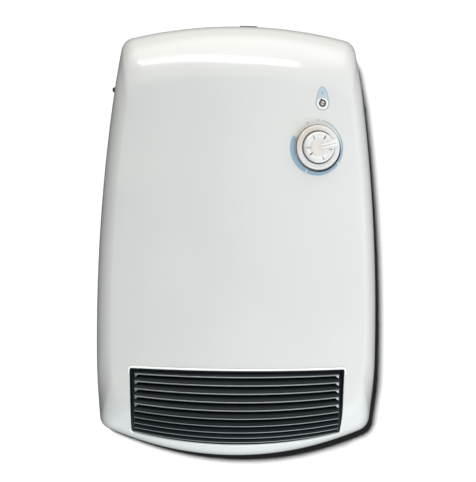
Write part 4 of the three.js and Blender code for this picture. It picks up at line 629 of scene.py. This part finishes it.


# -------------------- outlet grille
# A separate dark grey satin moulding behind the outlet: a frame with a flange, a rail at each
# side and ten louvres that slope up and back between the rails, each with a rounded nose.
# The pale beads along the louvre noses and the pale webs at the rails are painted highlight.
SET_BACK = 1.5
GRILLE_DEPTH = 12
FACE_START = OUTLET["top"] + 7
STRAIGHT = FACE_START - FACE["low"]
RAIL_INNER = 99.4
RAIL_OUTER = 103.4
RAIL_SUNK = 3.5
LOUVRES = 10
FIRST_LOUVRE = 6.6
LOUVRE_PITCH = 8.16
LOUVRE_RISE = 7
LOUVRE_THICK = 1.5
LOUVRE_BEND = 3.2  # how much more steeply a louvre climbs at its nose than at its rear
LOUVRE_CUTS = (31, 9)  # across the width and from nose to rear
RAIL_SPAN = (3, 86)
BEAD_RADIUS, BEAD_BACK = 0.72, 0.35
GUSSETS, GUSSET_SIZE, GUSSET_THICK = 5, 3.4, 1.1
FRAME_BAND = (-0.35, -2.1, 1.5, 13.5)  # outer and inner offset, front and rear
FLANGE_BAND = (4.6, -1.2, 2.9, 5.6)
roll_line = []
for i in range(201):
    turn = i / 200 * math.pi / 2
    depth = DEPTH - BOTTOM_ROLL[1] * (1 - math.cos(turn))
    roll_line.append(Vector((depth, FACE["low"] - BOTTOM_ROLL[0] * math.sin(turn))))


def face_line(distance):
    """Depth and height of the middle of the face, at a distance down from just above the outlet."""
    if distance <= STRAIGHT:
        return Vector((DEPTH, FACE_START - distance))
    left = distance - STRAIGHT
    for a, b in zip(roll_line, roll_line[1:]):
        step = (b - a).length
        if left <= step:
            return a.lerp(b, left / step)
        left -= step
    return roll_line[-1]


def in_grille(x, distance, back):
    """A point of the grille: across, down the face and back from the face."""
    depth, z = face_line(distance)
    t = (z - OUTLET["top"]) / (OUTLET["low"] - OUTLET["top"])
    sag = OUTLET_SAG[0] + (OUTLET_SAG[1] - OUTLET_SAG[0]) * t
    drop = DEPTH - face_depth(x) + SET_BACK
    return point_on(x, depth - back - drop, z + sag * (x / OUTLET["top_half"]) ** 2)


def select_edges(mesh, test):
    """Selects the edges of a mesh that pass a test, in object mode."""
    for group in (mesh.vertices, mesh.edges, mesh.polygons):
        group.foreach_set("select", [False] * len(group))
    for edge in mesh.edges:
        edge.select = test(edge)


def runs_along(mesh, edge, axis):
    a, b = (mesh.vertices[v].co for v in edge.vertices)
    return abs(a[axis] - b[axis]) > 0.5 * (a - b).length


def round_edges(piece, test, offset, segments=5):
    select_edges(piece.data, test)
    with editing(piece):
        bpy.ops.mesh.select_mode(type="EDGE")
        bpy.ops.mesh.bevel(offset=offset * MM, segments=segments, affect="EDGES")


def cut_across(piece, axis, cuts):
    """Divides the edges that run along an axis, so that the piece can follow a curve."""
    mesh = piece.data
    select_edges(mesh, lambda e: runs_along(mesh, e, axis))
    with editing(piece):
        bpy.ops.mesh.select_mode(type="EDGE")
        bpy.ops.mesh.subdivide(number_cuts=cuts)


def bend(piece, where):
    for vertex in piece.data.vertices:
        vertex.co = where(*(vertex.co / MM))


def louvre(number):
    """A blade that climbs steeply behind its nose and then bends back."""
    start = FIRST_LOUVRE + number * LOUVRE_PITCH
    chord = math.hypot(GRILLE_DEPTH, LOUVRE_RISE)
    blade = block("louvre", (2 * (RAIL_INNER + 1), chord, LOUVRE_THICK))
    mesh = blade.data
    nose = -chord / 2 * MM

    def at_nose(edge):
        return runs_along(mesh, edge, 0) and mesh.vertices[edge.vertices[0]].co.y < nose / 2

    round_edges(blade, at_nose, LOUVRE_THICK * 0.49)
    for axis, cuts in enumerate(LOUVRE_CUTS):
        cut_across(blade, axis, cuts)

    def on_curve(x, back):
        return in_grille(x, start + LOUVRE_RISE * (1 - back) ** LOUVRE_BEND, GRILLE_DEPTH * back)

    def where(x, y, z):
        back = min(max((y + chord / 2) / chord, 0), 1)
        lean = (on_curve(x, min(back + 0.05, 1)) - on_curve(x, max(back - 0.05, 0))).normalized()
        return on_curve(x, back) + Vector((0, -lean.z, lean.y)) * z * MM

    bend(blade, where)
    return blade


def rail(side):
    """The upright at one end of the louvres, with its front edges rounded."""
    start, end = RAIL_SPAN
    strip = block("rail", (RAIL_OUTER - RAIL_INNER, GRILLE_DEPTH - RAIL_SUNK, end - start))
    mesh = strip.data

    def in_front(edge):
        return runs_along(mesh, edge, 2) and mesh.vertices[edge.vertices[0]].co.y < 0

    round_edges(strip, in_front, 0.8, 3)
    cut_across(strip, 2, 39)
    middle = side * (RAIL_INNER + RAIL_OUTER) / 2
    rear = (GRILLE_DEPTH + RAIL_SUNK) / 2
    bend(strip, lambda x, y, z: in_grille(middle + x, (start + end) / 2 - z, rear + y))
    return strip


def nose_highlight_bead(number):
    """A pale metallic bead along a louvre's nose: a painted highlight on the dark plastic."""
    start = FIRST_LOUVRE + number * LOUVRE_PITCH + LOUVRE_RISE
    steps = [(RAIL_INNER + 0.8) * (i / 24 - 1) for i in range(49)]
    nose = [in_grille(x, start, BEAD_BACK) for x in steps]
    return bead_along("louvre_nose_highlight", nose, BEAD_RADIUS, closed=False)


def hoop(name, outer, inner, front, rear):
    """A band round the outlet, between two offsets of its outline and two depths."""
    points = []
    for grow, back in ((outer, front), (inner, front), (inner, rear), (outer, rear)):
        edge = outlet_outline(grow)
        points += [on_cover(p.x, p.y) + Vector((0, back * MM, 0)) for p in edge]
    band = skin(name, points, strips(len(edge), 4, closed=True))
    tidy_mesh(band)
    return band


def gusset(side, number):
    """The small web that braces a louvre's nose against its rail, coloured pale as a painted
    highlight.
    """
    size = GUSSET_SIZE
    web = block("gusset", (size, GUSSET_THICK, size))
    start = FIRST_LOUVRE + number * LOUVRE_PITCH + LOUVRE_RISE

    def where(x, y, z):
        low = 0.5 - z / size
        across = (x + size / 2) * (1 - 0.85 * low)
        down = start + 0.6 + 0.8 * size * low
        return in_grille(side * (RAIL_INNER + 0.6 - across), down, 0.7 + y)

    bend(web, where)
    tidy_mesh(web)
    round_edges(web, lambda e: True, 0.15, 2)
    return web


def grille_grey():
    material, tree = finish_named("grille_grey")
    grain = tree.noise(tree.place(), 1400.0, 2.0, 0.6)
    cloud = tree.noise(tree.place(), 26.0, 2.0)
    tree.set(Base_Color=tree.mix(cloud, (0.0078, 0.0115, 0.0145), (0.0125, 0.0178, 0.0220)))
    tree.set(Roughness=0.40 + 0.16 * cloud + 0.06 * grain, Specular_IOR_Level=0.13)
    tree.set(Normal=tree.bump(grain, 0.00004, 0.5))
    return material


grille_finish = grille_grey()
blades = join("grille_louvres", [louvre(i) for i in range(LOUVRES)])
bands = [hoop("frame", *FRAME_BAND), hoop("flange", *FLANGE_BAND)]
grille_frame = join("grille_frame", bands + [rail(-1), rail(1)])
edges = join("louvre_nose_highlights", [nose_highlight_bead(i) for i in range(LOUVRES)])
smooth(edges, 60)


def gusset_painted_highlight():
    """The webs' pale colour is painted highlight, painted brighter towards the right end where more
    light falls.
    """
    material, tree = finish_named("gusset_painted_highlight")
    right = tree.axes(tree.place())[0]
    grain = tree.noise(tree.place(), 900.0, 2.0)
    painted_light_to_right = right.between(-0.09, 0.09)
    tree.set(Base_Color=tree.mix(painted_light_to_right, (0.16, 0.22, 0.24), (0.62, 0.68, 0.70)))
    tree.set(Roughness=0.3 + 0.2 * grain)
    return material


for piece in (blades, grille_frame):
    smooth(piece, 40)
    fit(piece, "case", "grille_plastic", grille_finish)
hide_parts("outlet_grille")
# The noses' pale metallic grey is painted highlight, streaked along their length.
NOSE_HIGHLIGHT_GREY = ((0.20, 0.22, 0.23), (0.30, 0.32, 0.33), 900.0, (0.28, 0.43), (0.1, 1, 1))
fit(edges, "case", "grille_plastic", grained("louvre_nose_highlight", *NOSE_HIGHLIGHT_GREY, Metallic=0.75))
gussets = join("grille_gussets", [gusset(side, i) for side in (-1, 1) for i in range(GUSSETS)])
smooth(gussets, 40)
fit(gussets, "case", "grille_plastic", gusset_painted_highlight())


# -------------------- printed scale
# The heat scale round the knob is a blue band that narrows anticlockwise, broken twice, printed
# straight onto the cover with a thin grey line and two small grey marks above it.
INK_PROUD, INK_THICK = 0.05, 0.03
SCALE_CENTRE = (-0.45, -0.5)
SCALE_RADIUS = 27.0
SCALE_WIDTH = 7.0  # at its wide end
SCALE_BREAKS = (153.4, 246.0, 327.0, 441.0)  # its two ends and the breaks between them, in degrees
SCALE_GAP = 1.4
SCALE_MARKS = (  # from, to, width, outer radius and steps
    (51, 80, 0.6, 28.0, 40),
    (85.5, 88.5, 2.2, 28.6, 4),
    (109.5, 112.5, 1.8, 27.2, 4),
)


def from_knob(x, z, proud):
    """A point of the cover's face from its place in the view along the knob's axis."""
    flat = knob_frame @ Vector((x * MM, 0, z * MM))
    return on_cover(flat.x / MM, flat.z / MM, proud)


def print_patch(name, across, along_steps, where, proud=INK_PROUD):
    """A thin printed area: a grid laid on the face, with where(u, v) as its place in 0..1."""
    bpy.ops.object.select_all(action="DESELECT")
    bpy.ops.mesh.primitive_grid_add(x_subdivisions=along_steps, y_subdivisions=across, size=1)
    patch = bpy.context.object
    patch.name = name
    for vertex in patch.data.vertices:
        x, z = where(vertex.co.x + 0.5, vertex.co.y + 0.5)
        vertex.co = from_knob(x, z, proud)
    modify(patch, "SOLIDIFY", thickness=INK_THICK * MM, offset=0)
    tidy_mesh(patch, 0.001)
    return patch


def polar(radius, degrees, centre=SCALE_CENTRE):
    a = math.radians(degrees)
    return centre[0] + radius * math.cos(a), centre[1] + radius * math.sin(a)


def band(start, end, width, outer=SCALE_RADIUS, steps=40):
    """A part of a ring from one angle to another; width(angle) is its width."""

    def where(u, v):
        angle = start + (end - start) * u
        return polar(outer - width(angle) * v, angle)

    return print_patch("band", 2, steps, where)


def ink(name, colour, other):
    return grained(name, colour, other, 1100.0, (0.25, 0.35), sharp=(0.3, 0.7))


def scale_width(angle):
    return SCALE_WIDTH * (1 - (angle - SCALE_BREAKS[0]) / (SCALE_BREAKS[-1] - SCALE_BREAKS[0]))


blue_ink = ink("ink_blue", (0.29, 0.43, 0.56), (0.34, 0.48, 0.60))
grey_ink_and_shade = ink("ink_grey_and_painted_shade", (0.40, 0.42, 0.44), (0.46, 0.48, 0.50))
parts = []
for start, end in zip(SCALE_BREAKS, SCALE_BREAKS[1:]):
    start += SCALE_GAP if start != SCALE_BREAKS[0] else 0
    end -= SCALE_GAP if end != SCALE_BREAKS[-1] else 0
    parts.append(band(start, end, scale_width))
fit(join("scale_band", parts), "case", "print_ink", blue_ink)
marks = [band(a, b, lambda angle: width, outer, n) for a, b, width, outer, n in SCALE_MARKS]
fit(join("scale_marks", marks), "case", "print_ink", grey_ink_and_shade)


# -------------------- lamp badge
# A drop printed on the cover round the indicator lamp, in four passes of ink: its grey-blue line,
# the light blue field, the white disc round the lamp, and a plain blue stroke above it.
def drop(name, wide, high, foot, proud, centre, taper):
    """A drop with its round end about a centre and its blunt point above."""

    def where(u, v):
        a = math.radians(360 * u - 90)
        x, z = math.cos(a), math.sin(a)
        if z > 0 and taper:
            wide_here = wide * math.sqrt(max(1 - z**6, 0)) * (1 - taper * z)
            return centre[0] + math.copysign(wide_here, x) * v, centre[1] + high * z * v
        return centre[0] + wide * x * v, centre[1] + (high if z > 0 else foot) * z * v

    return print_patch(name, 6, 64, where, proud)


MARK_PLACE = (LENS[0], LENS[1] + 9.6)
TAPER = 0.45
badge = (  # name; half width, height, foot, proud; centre, taper; two shades
    ("badge_line", 7.2, 16.2, 7.2, 0.04, LENS, TAPER, (0.36, 0.43, 0.49), (0.42, 0.48, 0.54)),
    ("badge_field", 6.2, 15.0, 6.2, 0.08, LENS, TAPER, (0.46, 0.57, 0.66), (0.52, 0.62, 0.70)),
    ("badge_disc", 5.9, 5.3, 6.3, 0.12, LENS, 0, (0.80, 0.81, 0.81), (0.84, 0.85, 0.85)),
    ("badge_mark", 1.1, 2.2, 1.1, 0.12, MARK_PLACE, TAPER, (0.28, 0.42, 0.55), (0.33, 0.46, 0.58)),
)
for name, *shape, colour, other in badge:
    fit(drop(name, *shape), "case", "print_ink", ink(name, colour, other))


# -------------------- knob
# A turned-looking pearl white moulding with a wide skirt and a round crown, pushed onto the
# thermostat's spindle. Its crown has a hub, petal-shaped dips and a nose that points to the scale.
KNOB_GAP = 0.8
POINTER_ANGLE = 15
PETAL_CUTS = (61, 122, 184, 219, 290, 350)  # degrees round the dial, as the pointer's
CUTTER_SIZE, CUTTER_PLACE = (4.4, 3.2, 1.1), (11.2, -9.6, 0)
NOSE_SIZE, NOSE_PLACE = (12.6, 5.6, 10.4), (14.4, -6.4, 0)
NOSE_TIP_X, NOSE_TAPER, NOSE_TIP_HEIGHT = 14, 0.66, 6.2


def turned(name, profile, frame_of, steps=128):
    """Spins a profile of (radius, height) about a frame's outward axis, which is its -Y."""
    points = [Vector((r * MM, -h * MM, 0)) for r, h in profile]
    piece = skin(name, points, [], [(i, i + 1) for i in range(len(points) - 1)])
    with editing(piece):
        bpy.ops.mesh.select_all(action="SELECT")
        bpy.ops.mesh.spin(steps=steps, angle=math.tau, center=(0, 0, 0), axis=(0, 1, 0))
    tidy_mesh(piece)
    piece.matrix_world = frame_of
    settle(piece)
    return piece


def placed(piece, frame_of):
    piece.matrix_world = frame_of @ piece.matrix_world
    settle(piece)
    return piece


def in_knob(degrees):
    """The knob's frame turned so that its X points at an angle of the dial."""
    return knob_frame @ Matrix.Rotation(-math.radians(degrees), 4, "Y")


KNOB_PROFILE = [
    (0, 2.2), (4.6, 2.2), (4.6, KNOB_GAP), (6.2, KNOB_GAP), (6.2, 2.2), (20.4, 2.2),
    (20.4, KNOB_GAP), (21.2, KNOB_GAP), (21.3, 1.2), (21.3, 3.6), (21.75, 3.65), (21.85, 3.9),
    (21.75, 4.45), (21.45, 4.85), (21.0, 5.08), (20.4, 5.2), (17.3, 5.3), (16.8, 5.2), (16.5, 4.9),
    (16.5, 3.6), (15.5, 3.6), (15.45, 5.0), (15.2, 7.9), (15.05, 8.5), (14.7, 9.0), (14.2, 9.35),
    (13.5, 9.6), (12.4, 9.65), (10.6, 9.3), (9.4, 8.8), (9.0, 8.45), (8.8, 8.45), (8.5, 8.9),
    (8.0, 9.15), (7.0, 9.1), (5.0, 8.7), (2.5, 8.4), (0, 8.3),
]


def pearl_white():
    material, tree = finish_named("knob_pearl")
    flow = tree.noise(tree.place(), 140.0, 3.0, 0.55)
    speck = tree.noise(tree.place(), 1600.0, 2.0)
    dial_x, depth, dial_z = tree.axes(tree.place(knob_frame.translation))
    radius = tree.math("SQRT", dial_x * dial_x + dial_z * dial_z)
    # Painted shade: a warm beige tone on the upper left of the crown's rim. The hub is tinted
    # beige.
    painted_warm_shade = (dial_z - dial_x).between(0.004, 0.030) * radius.between(0.012, 0.018)
    hub = 1 - radius.between(0.0070, 0.0095)
    tint = tree.mix(flow.between(0.3, 0.7), (0.74, 0.745, 0.76), (0.80, 0.79, 0.77))
    tint = tree.mix(tree.math("MAXIMUM", painted_warm_shade * 0.9, hub * 0.45), tint, (0.70, 0.615, 0.53))
    tree.set(Base_Color=tree.mix(speck.between(0.6, 0.8) * 0.3, tint, (0.66, 0.66, 0.66)))
    tree.set(Roughness=0.16 + 0.10 * flow, Coat_Weight=0.6, Coat_Roughness=0.05)
    tree.set(Normal=tree.bump(flow + 0.2 * speck, 0.00006, 0.5))
    return material


knob = turned("knob_body", KNOB_PROFILE, knob_frame)
cuts = []
for degrees in PETAL_CUTS:
    cutter = block("petal_cutter", CUTTER_SIZE, CUTTER_PLACE)
    round_edges(cutter, lambda e: True, 0.3, 3)
    cuts.append(placed(cutter, in_knob(degrees)))
carve(knob, join("petal_cutters", cuts))
nose = block("nose", NOSE_SIZE, NOSE_PLACE)
for vertex in nose.data.vertices:
    if vertex.co.x > NOSE_TIP_X * MM:
        vertex.co.z *= NOSE_TAPER
        if vertex.co.y < NOSE_PLACE[1] * MM:
            vertex.co.y = -NOSE_TIP_HEIGHT * MM
round_edges(nose, lambda e: True, 0.6, 4)
carve(knob, placed(nose, in_knob(POINTER_ANGLE)), operation="UNION")
smooth(knob, 40)
pearl = pearl_white()
fit(knob, "knob", "knob_plastic", pearl, "control_knob")


# -------------------- slots and ridges of the knob
# The floors of the crown's slots are coloured dark or grey as painted shade. Two bright ridges run
# side by side over the crown and down the pointer's nose; their brighter white is painted
# highlight.
DEEP_CUTS = (61, 219, 350)
FLOOR_SIZE, FLOOR_PLACE = (3.4, 0.6, 1.12), (10.6, -8.15, 0)
RIDGE_SIZE, RIDGE_OUT, RIDGE_APART = (17.6, 1.3, 1.1), 10.6, 3.0
# One dark finish serves the real dark parts and the painted shade of the knob's slots, rings and
# shadow.
DARK = ((0.012, 0.010, 0.009), (0.028, 0.024, 0.022), 900.0, (0.45, 0.65))
dark = grained("dark_plastic_and_painted_shade", *DARK)


def ridge_height(r):
    """The two ridges of the pointer rise a little over the crown and fall along the nose."""
    return 8.25 + 0.095 * min(r, 11) - 0.62 * max(r - NOSE_TIP_X, 0)


# Painted shade: dark floors in three slots and grey ones in the other three.
slots, dips = [], []
for degrees in PETAL_CUTS:
    floor = placed(block("petal_slot_shade", FLOOR_SIZE, FLOOR_PLACE), in_knob(degrees))
    (slots if degrees in DEEP_CUTS else dips).append(floor)
fit(join("petal_slot_shades", slots), "knob", "dark_screw", dark)
fit(join("petal_dip_shades", dips), "knob", "print_ink", grey_ink_and_shade)
ridges = []
for side in (-1, 1):
    ridge = block("ridge", RIDGE_SIZE, (RIDGE_OUT, 0, side * RIDGE_APART / 2))
    cut_across(ridge, 0, 11)
    for vertex in ridge.data.vertices:
        vertex.co.y -= ridge_height(vertex.co.x / MM) * MM
    ridges.append(placed(ridge, in_knob(POINTER_ANGLE)))
pointer_ridges = join("pointer_ridges", ridges)
smooth(pointer_ridges, 50)
# The ridges' whiter colour, brighter than the knob's own pearl, is painted highlight.
fit(pointer_ridges, "knob", "knob_plastic", painted_highlight_white)


# -------------------- rings of the knob
# Dark rings lie in the groove round the crown and under the skirt, over a pale foot: they are
# painted shade in those gaps. A dark disc on the cover is a painted shadow below and right of the
# skirt.
CROWN_SHADE_RING = [(15.52, 3.62), (16.48, 3.62), (16.48, 4.75), (15.52, 4.75), (15.52, 3.62)]
SKIRT_SHADE_RING = [(21.38, 2.95), (22.4, 2.95), (22.2, 3.45), (21.38, 3.55), (21.38, 2.95)]
SKIRT_FOOT = [
    (21.38, 1.2), (22.1, 1.2), (22.45, 1.55), (22.5, 2.8), (22.4, 2.95), (21.38, 2.95),
    (21.38, 1.2),
]
RING_CUT_SIZE, RING_CUT_PLACE = (8, 8, 18.6), (16.9, -4, 0)
SHADOW_RADIUS, SHADOW_CENTRE = 22.9, (1.3, -1.1)
# Painted shade: the crown ring stands in the groove and is cut away under the nose.
ring = turned("crown_shade_ring", CROWN_SHADE_RING, knob_frame, 96)
ring_cutter = block("ring_cutter", RING_CUT_SIZE, RING_CUT_PLACE)
carve(ring, placed(ring_cutter, in_knob(POINTER_ANGLE)))
smooth(ring, 40)
fit(ring, "knob", "dark_screw", dark)
# Painted shade: the skirt ring under the skirt's edge; the foot below it is the knob's own pearl.
for name, profile, slot, finish in (
    ("skirt_shade_ring", SKIRT_SHADE_RING, "dark_screw", dark),
    ("skirt_foot", SKIRT_FOOT, "knob_plastic", pearl),
):
    piece = turned(name, profile, knob_frame)
    smooth(piece, 50)
    fit(piece, "knob", slot, finish)


# Painted shadow: a dark disc on the cover, set off below and right of the knob.
def shadow_place(u, v):
    return polar(SHADOW_RADIUS * v, 360 * u, SHADOW_CENTRE)


fit(print_patch("knob_painted_shadow", 4, 96, shadow_place, 0.12), "case", "print_ink", dark)


# -------------------- indicator lamp
# A clear domed lens in a dark bezel, pressed into its hole in the cover, with a dark bar across
# it. The neon lamp stands behind.
BEZEL = [
    (2.1, -1.2), (3.6, -1.2), (3.6, 0.1), (3.45, 0.45), (3.1, 0.62), (2.6, 0.6), (2.25, 0.4),
    (2.1, 0.1), (2.1, -1.2),
]
DOME = [
    (0, -1.4), (2.05, -1.4), (2.05, 0.0), (1.9, 0.28), (1.5, 0.5), (1.0, 0.62), (0.5, 0.68),
    (0, 0.7),
]
BUMP_SIZE, BUMP_PLACE = (1.5, 0.9, 1.4), (-1.3, -0.15, 3.7)
BAR_SIZE, BAR_PLACE, BAR_TURN = (3.4, 0.25, 0.8), (0, -0.66, 0), 20
CLEAR = ((0.62, 0.60, 0.58), (0.80, 0.78, 0.76), 700.0, (0.06, 0.14))
lens_frame = knob_frame @ Matrix.Translation((LENS[0] * MM, 0, LENS[1] * MM))
bezel = turned("lamp_bezel", BEZEL, lens_frame, 64)
bump = block("bezel_bump", BUMP_SIZE, BUMP_PLACE)
round_edges(bump, lambda e: True, 0.4, 3)
placed(bump, lens_frame)
smooth(bump, 50)
smooth(bezel, 40)
fit(join("lamp_bezel", [bezel, bump]), "case", "dark_screw", dark)
lens = turned("lamp_lens", DOME, lens_frame, 48)
smooth(lens, 60)
lens_clear = grained("lens_clear", *CLEAR, Coat_Weight=1.0, Coat_Roughness=0.03)
fit(lens, "case", "lens_plastic", lens_clear, "indicator_lens")
bar = block("lens_bar", BAR_SIZE, BAR_PLACE)
round_edges(bar, lambda e: True, 0.1, 2)
placed(bar, lens_frame @ Matrix.Rotation(math.radians(BAR_TURN), 4, "Y"))
fit(bar, "case", "dark_screw", dark)


# -------------------- cover screws
# Two black pan-head steel screws, one each side near the top, go through the cover into the
# bosses of the wall plate. Their heads stand proud of the flanks.
HEAD = [
    (0, -9), (1.45, -9), (1.45, 0.02), (2.4, 0.02), (2.4, 1.5), (2.2, 2.15), (1.7, 2.5),
    (0.9, 2.68), (0, 2.7),
]
RECESS = (2.2, 1.4, 0.5)
BLACK = ((0.010, 0.010, 0.011), (0.05, 0.05, 0.05), 600.0, (0.30, 0.55))
black = grained("screw_black", *BLACK, sharp=(0.55, 0.8), detail=3.0, Metallic=0.35)
for number, side in ((1, -1), (2, 1)):
    turn = Matrix.Rotation(side * math.pi / 2, 4, "Z")
    screw_frame = Matrix.Translation(point_on(side * side_x, SCREW_DEPTH, SCREW_Z)) @ turn
    screw = turned(f"cover_screw_{number}", HEAD, screw_frame, 40)
    cross = [block("recess", size, (0, -2.6, 0)) for size in (RECESS, RECESS[::-1])]
    carve(screw, *[placed(arm, screw_frame) for arm in cross])
    smooth(screw, 35)
    fit(screw, "case", "dark_screw", black, f"cover_screw_{number}")


# -------------------- wall plate
# The grey plastic plate is screwed to the wall through its keyholes and foot holes. It carries
# the blower and the controls, and its roof tongue and two bosses hold the cover. The dark tab on
# the roof is the tip of the tongue.
TAB_SIZE, TAB_DEPTH, TAB_PROUD = (17.4, 8.6, 0.9), 78.5, 0.25


def moulded(
    name, low, high, scale, rough=(0.35, 0.55), metallic=0.0, relief=0.00003, drawn=(1, 1, 1)
):
    """A finish with a soft cloud of two shades and a fine grain, stretched where it was drawn."""
    material, tree = finish_named(name)
    place = tree.place(stretch=drawn)
    cloud, grain = tree.noise(place, scale, 3.0), tree.noise(place, scale * 14, 2.0)
    tree.set(Base_Color=tree.mix(cloud.between(0.25, 0.75), low, high), Metallic=metallic)
    tree.set(Roughness=rough[0] + (rough[1] - rough[0]) * cloud + 0.06 * grain)
    tree.set(Normal=tree.bump(grain + 0.5 * cloud, relief, 0.6))
    return material


def dress(slot, finish):
    """Puts a finish on the drawn parts of a material slot that the scene keeps."""
    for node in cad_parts.values():
        materials = node.data.materials
        if materials and materials[0] and materials[0].name == slot:
            materials[0] = finish


tab = block("catch_tab", TAB_SIZE)
cut_across(tab, 0, 15)
cut_across(tab, 1, 7)


def on_roof(x, y, z):
    """A point over the roof of the cover, found from straight above it."""
    above = point_on(CATCH_X + x, TAB_DEPTH - y, 2 * RIM["top"])
    point, normal = cover_form.ray_cast(above, Vector((0, 0, -1)))[:2]
    return point + normal * (z + TAB_PROUD) * MM


bend(tab, on_roof)
smooth(tab, 40)
fit(tab, "case", "plate_plastic", dark)
PLATE_GREY = ((0.585, 0.60, 0.60), (0.625, 0.64, 0.635))
SCREW_ZINC = ((0.42, 0.41, 0.36), (0.62, 0.60, 0.54))
dress("plate_plastic", moulded("plate_grey", *PLATE_GREY, 150.0))
dress("zinc_screw", moulded("screw_zinc", *SCREW_ZINC, 300.0, (0.25, 0.45), 0.9))


# -------------------- blower and brackets
# The blower's housing and the brackets are pressed from galvanised sheet, which shows the
# flat crystals of its zinc.
def spangled_zinc():
    material, tree = finish_named("sheet_zinc")
    place = tree.place()
    cells = tree.node("ShaderNodeTexVoronoi", {}, {"Vector": place, "Scale": 130.0}, "Color")
    tone = tree.node("ShaderNodeSeparateColor", {}, {0: cells})
    rub = tree.noise(place, 60.0, 4.0)
    tree.set(Base_Color=tree.mix(tone, (0.44, 0.46, 0.47), (0.60, 0.62, 0.63)), Metallic=0.9)
    tree.set(Roughness=0.26 + 0.16 * tone + 0.12 * rub)
    return material


dress("galvanised_sheet", spangled_zinc())


# -------------------- fan and motor
# The drum fan is rolled from aluminium strip, on a steel shaft in a bronze bearing with rubber
# mounts. The motor has a laminated stator with one enamelled copper coil.
def stacked(name, low, high, pitch, metallic, rough):
    """Fine even lines square to the shaft: sheets in a stack or turns of wire."""
    material, tree = finish_named(name)
    place = tree.place()
    inputs = {"Vector": place, "Scale": 0.314 / (pitch * MM), "Distortion": 0.2, "Detail": 1.0}
    lines = tree.node("ShaderNodeTexWave", {"bands_direction": "X"}, inputs, "Fac")
    cloud = tree.noise(place, 80.0, 3.0)
    tree.set(Base_Color=tree.mix(0.6 * lines + 0.4 * cloud, low, high), Metallic=metallic)
    tree.set(Roughness=rough + 0.15 * cloud, Normal=tree.bump(lines, 0.00005, 0.7))
    return material


DRUM = ((0.50, 0.51, 0.52), (0.68, 0.69, 0.70), 90.0, (0.28, 0.42), 0.95)
STEEL = ((0.36, 0.37, 0.38), (0.54, 0.55, 0.56), 160.0, (0.20, 0.34), 0.95, 0.00001, (0.1, 1, 1))
BRONZE = ((0.30, 0.19, 0.09), (0.44, 0.29, 0.14), 500.0, (0.40, 0.6), 0.85)
RUBBER = ((0.010, 0.010, 0.010), (0.024, 0.024, 0.025), 120.0, (0.60, 0.85))
SHEETS = ((0.10, 0.105, 0.11), (0.24, 0.245, 0.25), 0.5, 0.8, 0.35)
WIRE = ((0.16, 0.05, 0.015), (0.42, 0.15, 0.05), 0.4, 0.35, 0.28)
dress("drum_aluminium", moulded("drum_aluminium_rolled", *DRUM))
dress("steel", moulded("steel_ground", *STEEL))
dress("bronze", moulded("bronze_sintered", *BRONZE))
dress("rubber", moulded("rubber_black", *RUBBER))
dress("lamination", stacked("stator_sheets", *SHEETS))
dress("winding", stacked("coil_wire", *WIRE))


# -------------------- heating element
# A sheathed element, blued by its heat, runs to and fro in a frame of pressed mica board. It is
# riveted behind the outlet with a thermal cut-out of dark plastic.
MICA = ((0.38, 0.31, 0.20), (0.56, 0.49, 0.36), 220.0, (0.45, 0.75), 0.0, 0.00006, (1, 1, 0.3))
SHEATH = ((0.12, 0.11, 0.13), (0.30, 0.26, 0.22), 35.0, (0.30, 0.5), 0.8)
dress("mica", moulded("mica_board", *MICA))
dress("element_sheath", moulded("sheath_blued", *SHEATH))
dress("grille_plastic", grille_finish)


# -------------------- controls and wiring
# A brown thermostat, a neon lamp in its holder, a cream terminal block with brass screws and
# three insulated leads.
BAKELITE = ((0.022, 0.013, 0.009), (0.060, 0.034, 0.022), 60.0, (0.30, 0.5))
NEON_GLASS = ((0.62, 0.60, 0.58), (0.76, 0.74, 0.72), 200.0, (0.04, 0.12))
CREAM = ((0.62, 0.58, 0.46), (0.74, 0.70, 0.58), 90.0)
BRASS = ((0.44, 0.30, 0.09), (0.62, 0.44, 0.16), 260.0, (0.24, 0.4), 0.95)
SLEEVES = {
    "brown": (0.11, 0.045, 0.020), "blue": (0.025, 0.07, 0.25), "black": (0.015, 0.015, 0.016),
}
dress("bakelite", moulded("bakelite_brown", *BAKELITE))
dress("lamp_glass", moulded("neon_glass", *NEON_GLASS))
dress("cream_plastic", moulded("block_cream", *CREAM))
dress("brass", moulded("brass_turned", *BRASS))
for colour, shade in SLEEVES.items():
    lighter = tuple(1.5 * c for c in shade)
    dress("lead_" + colour, moulded("sleeve_lead_" + colour, shade, lighter, 150.0, (0.40, 0.6)))
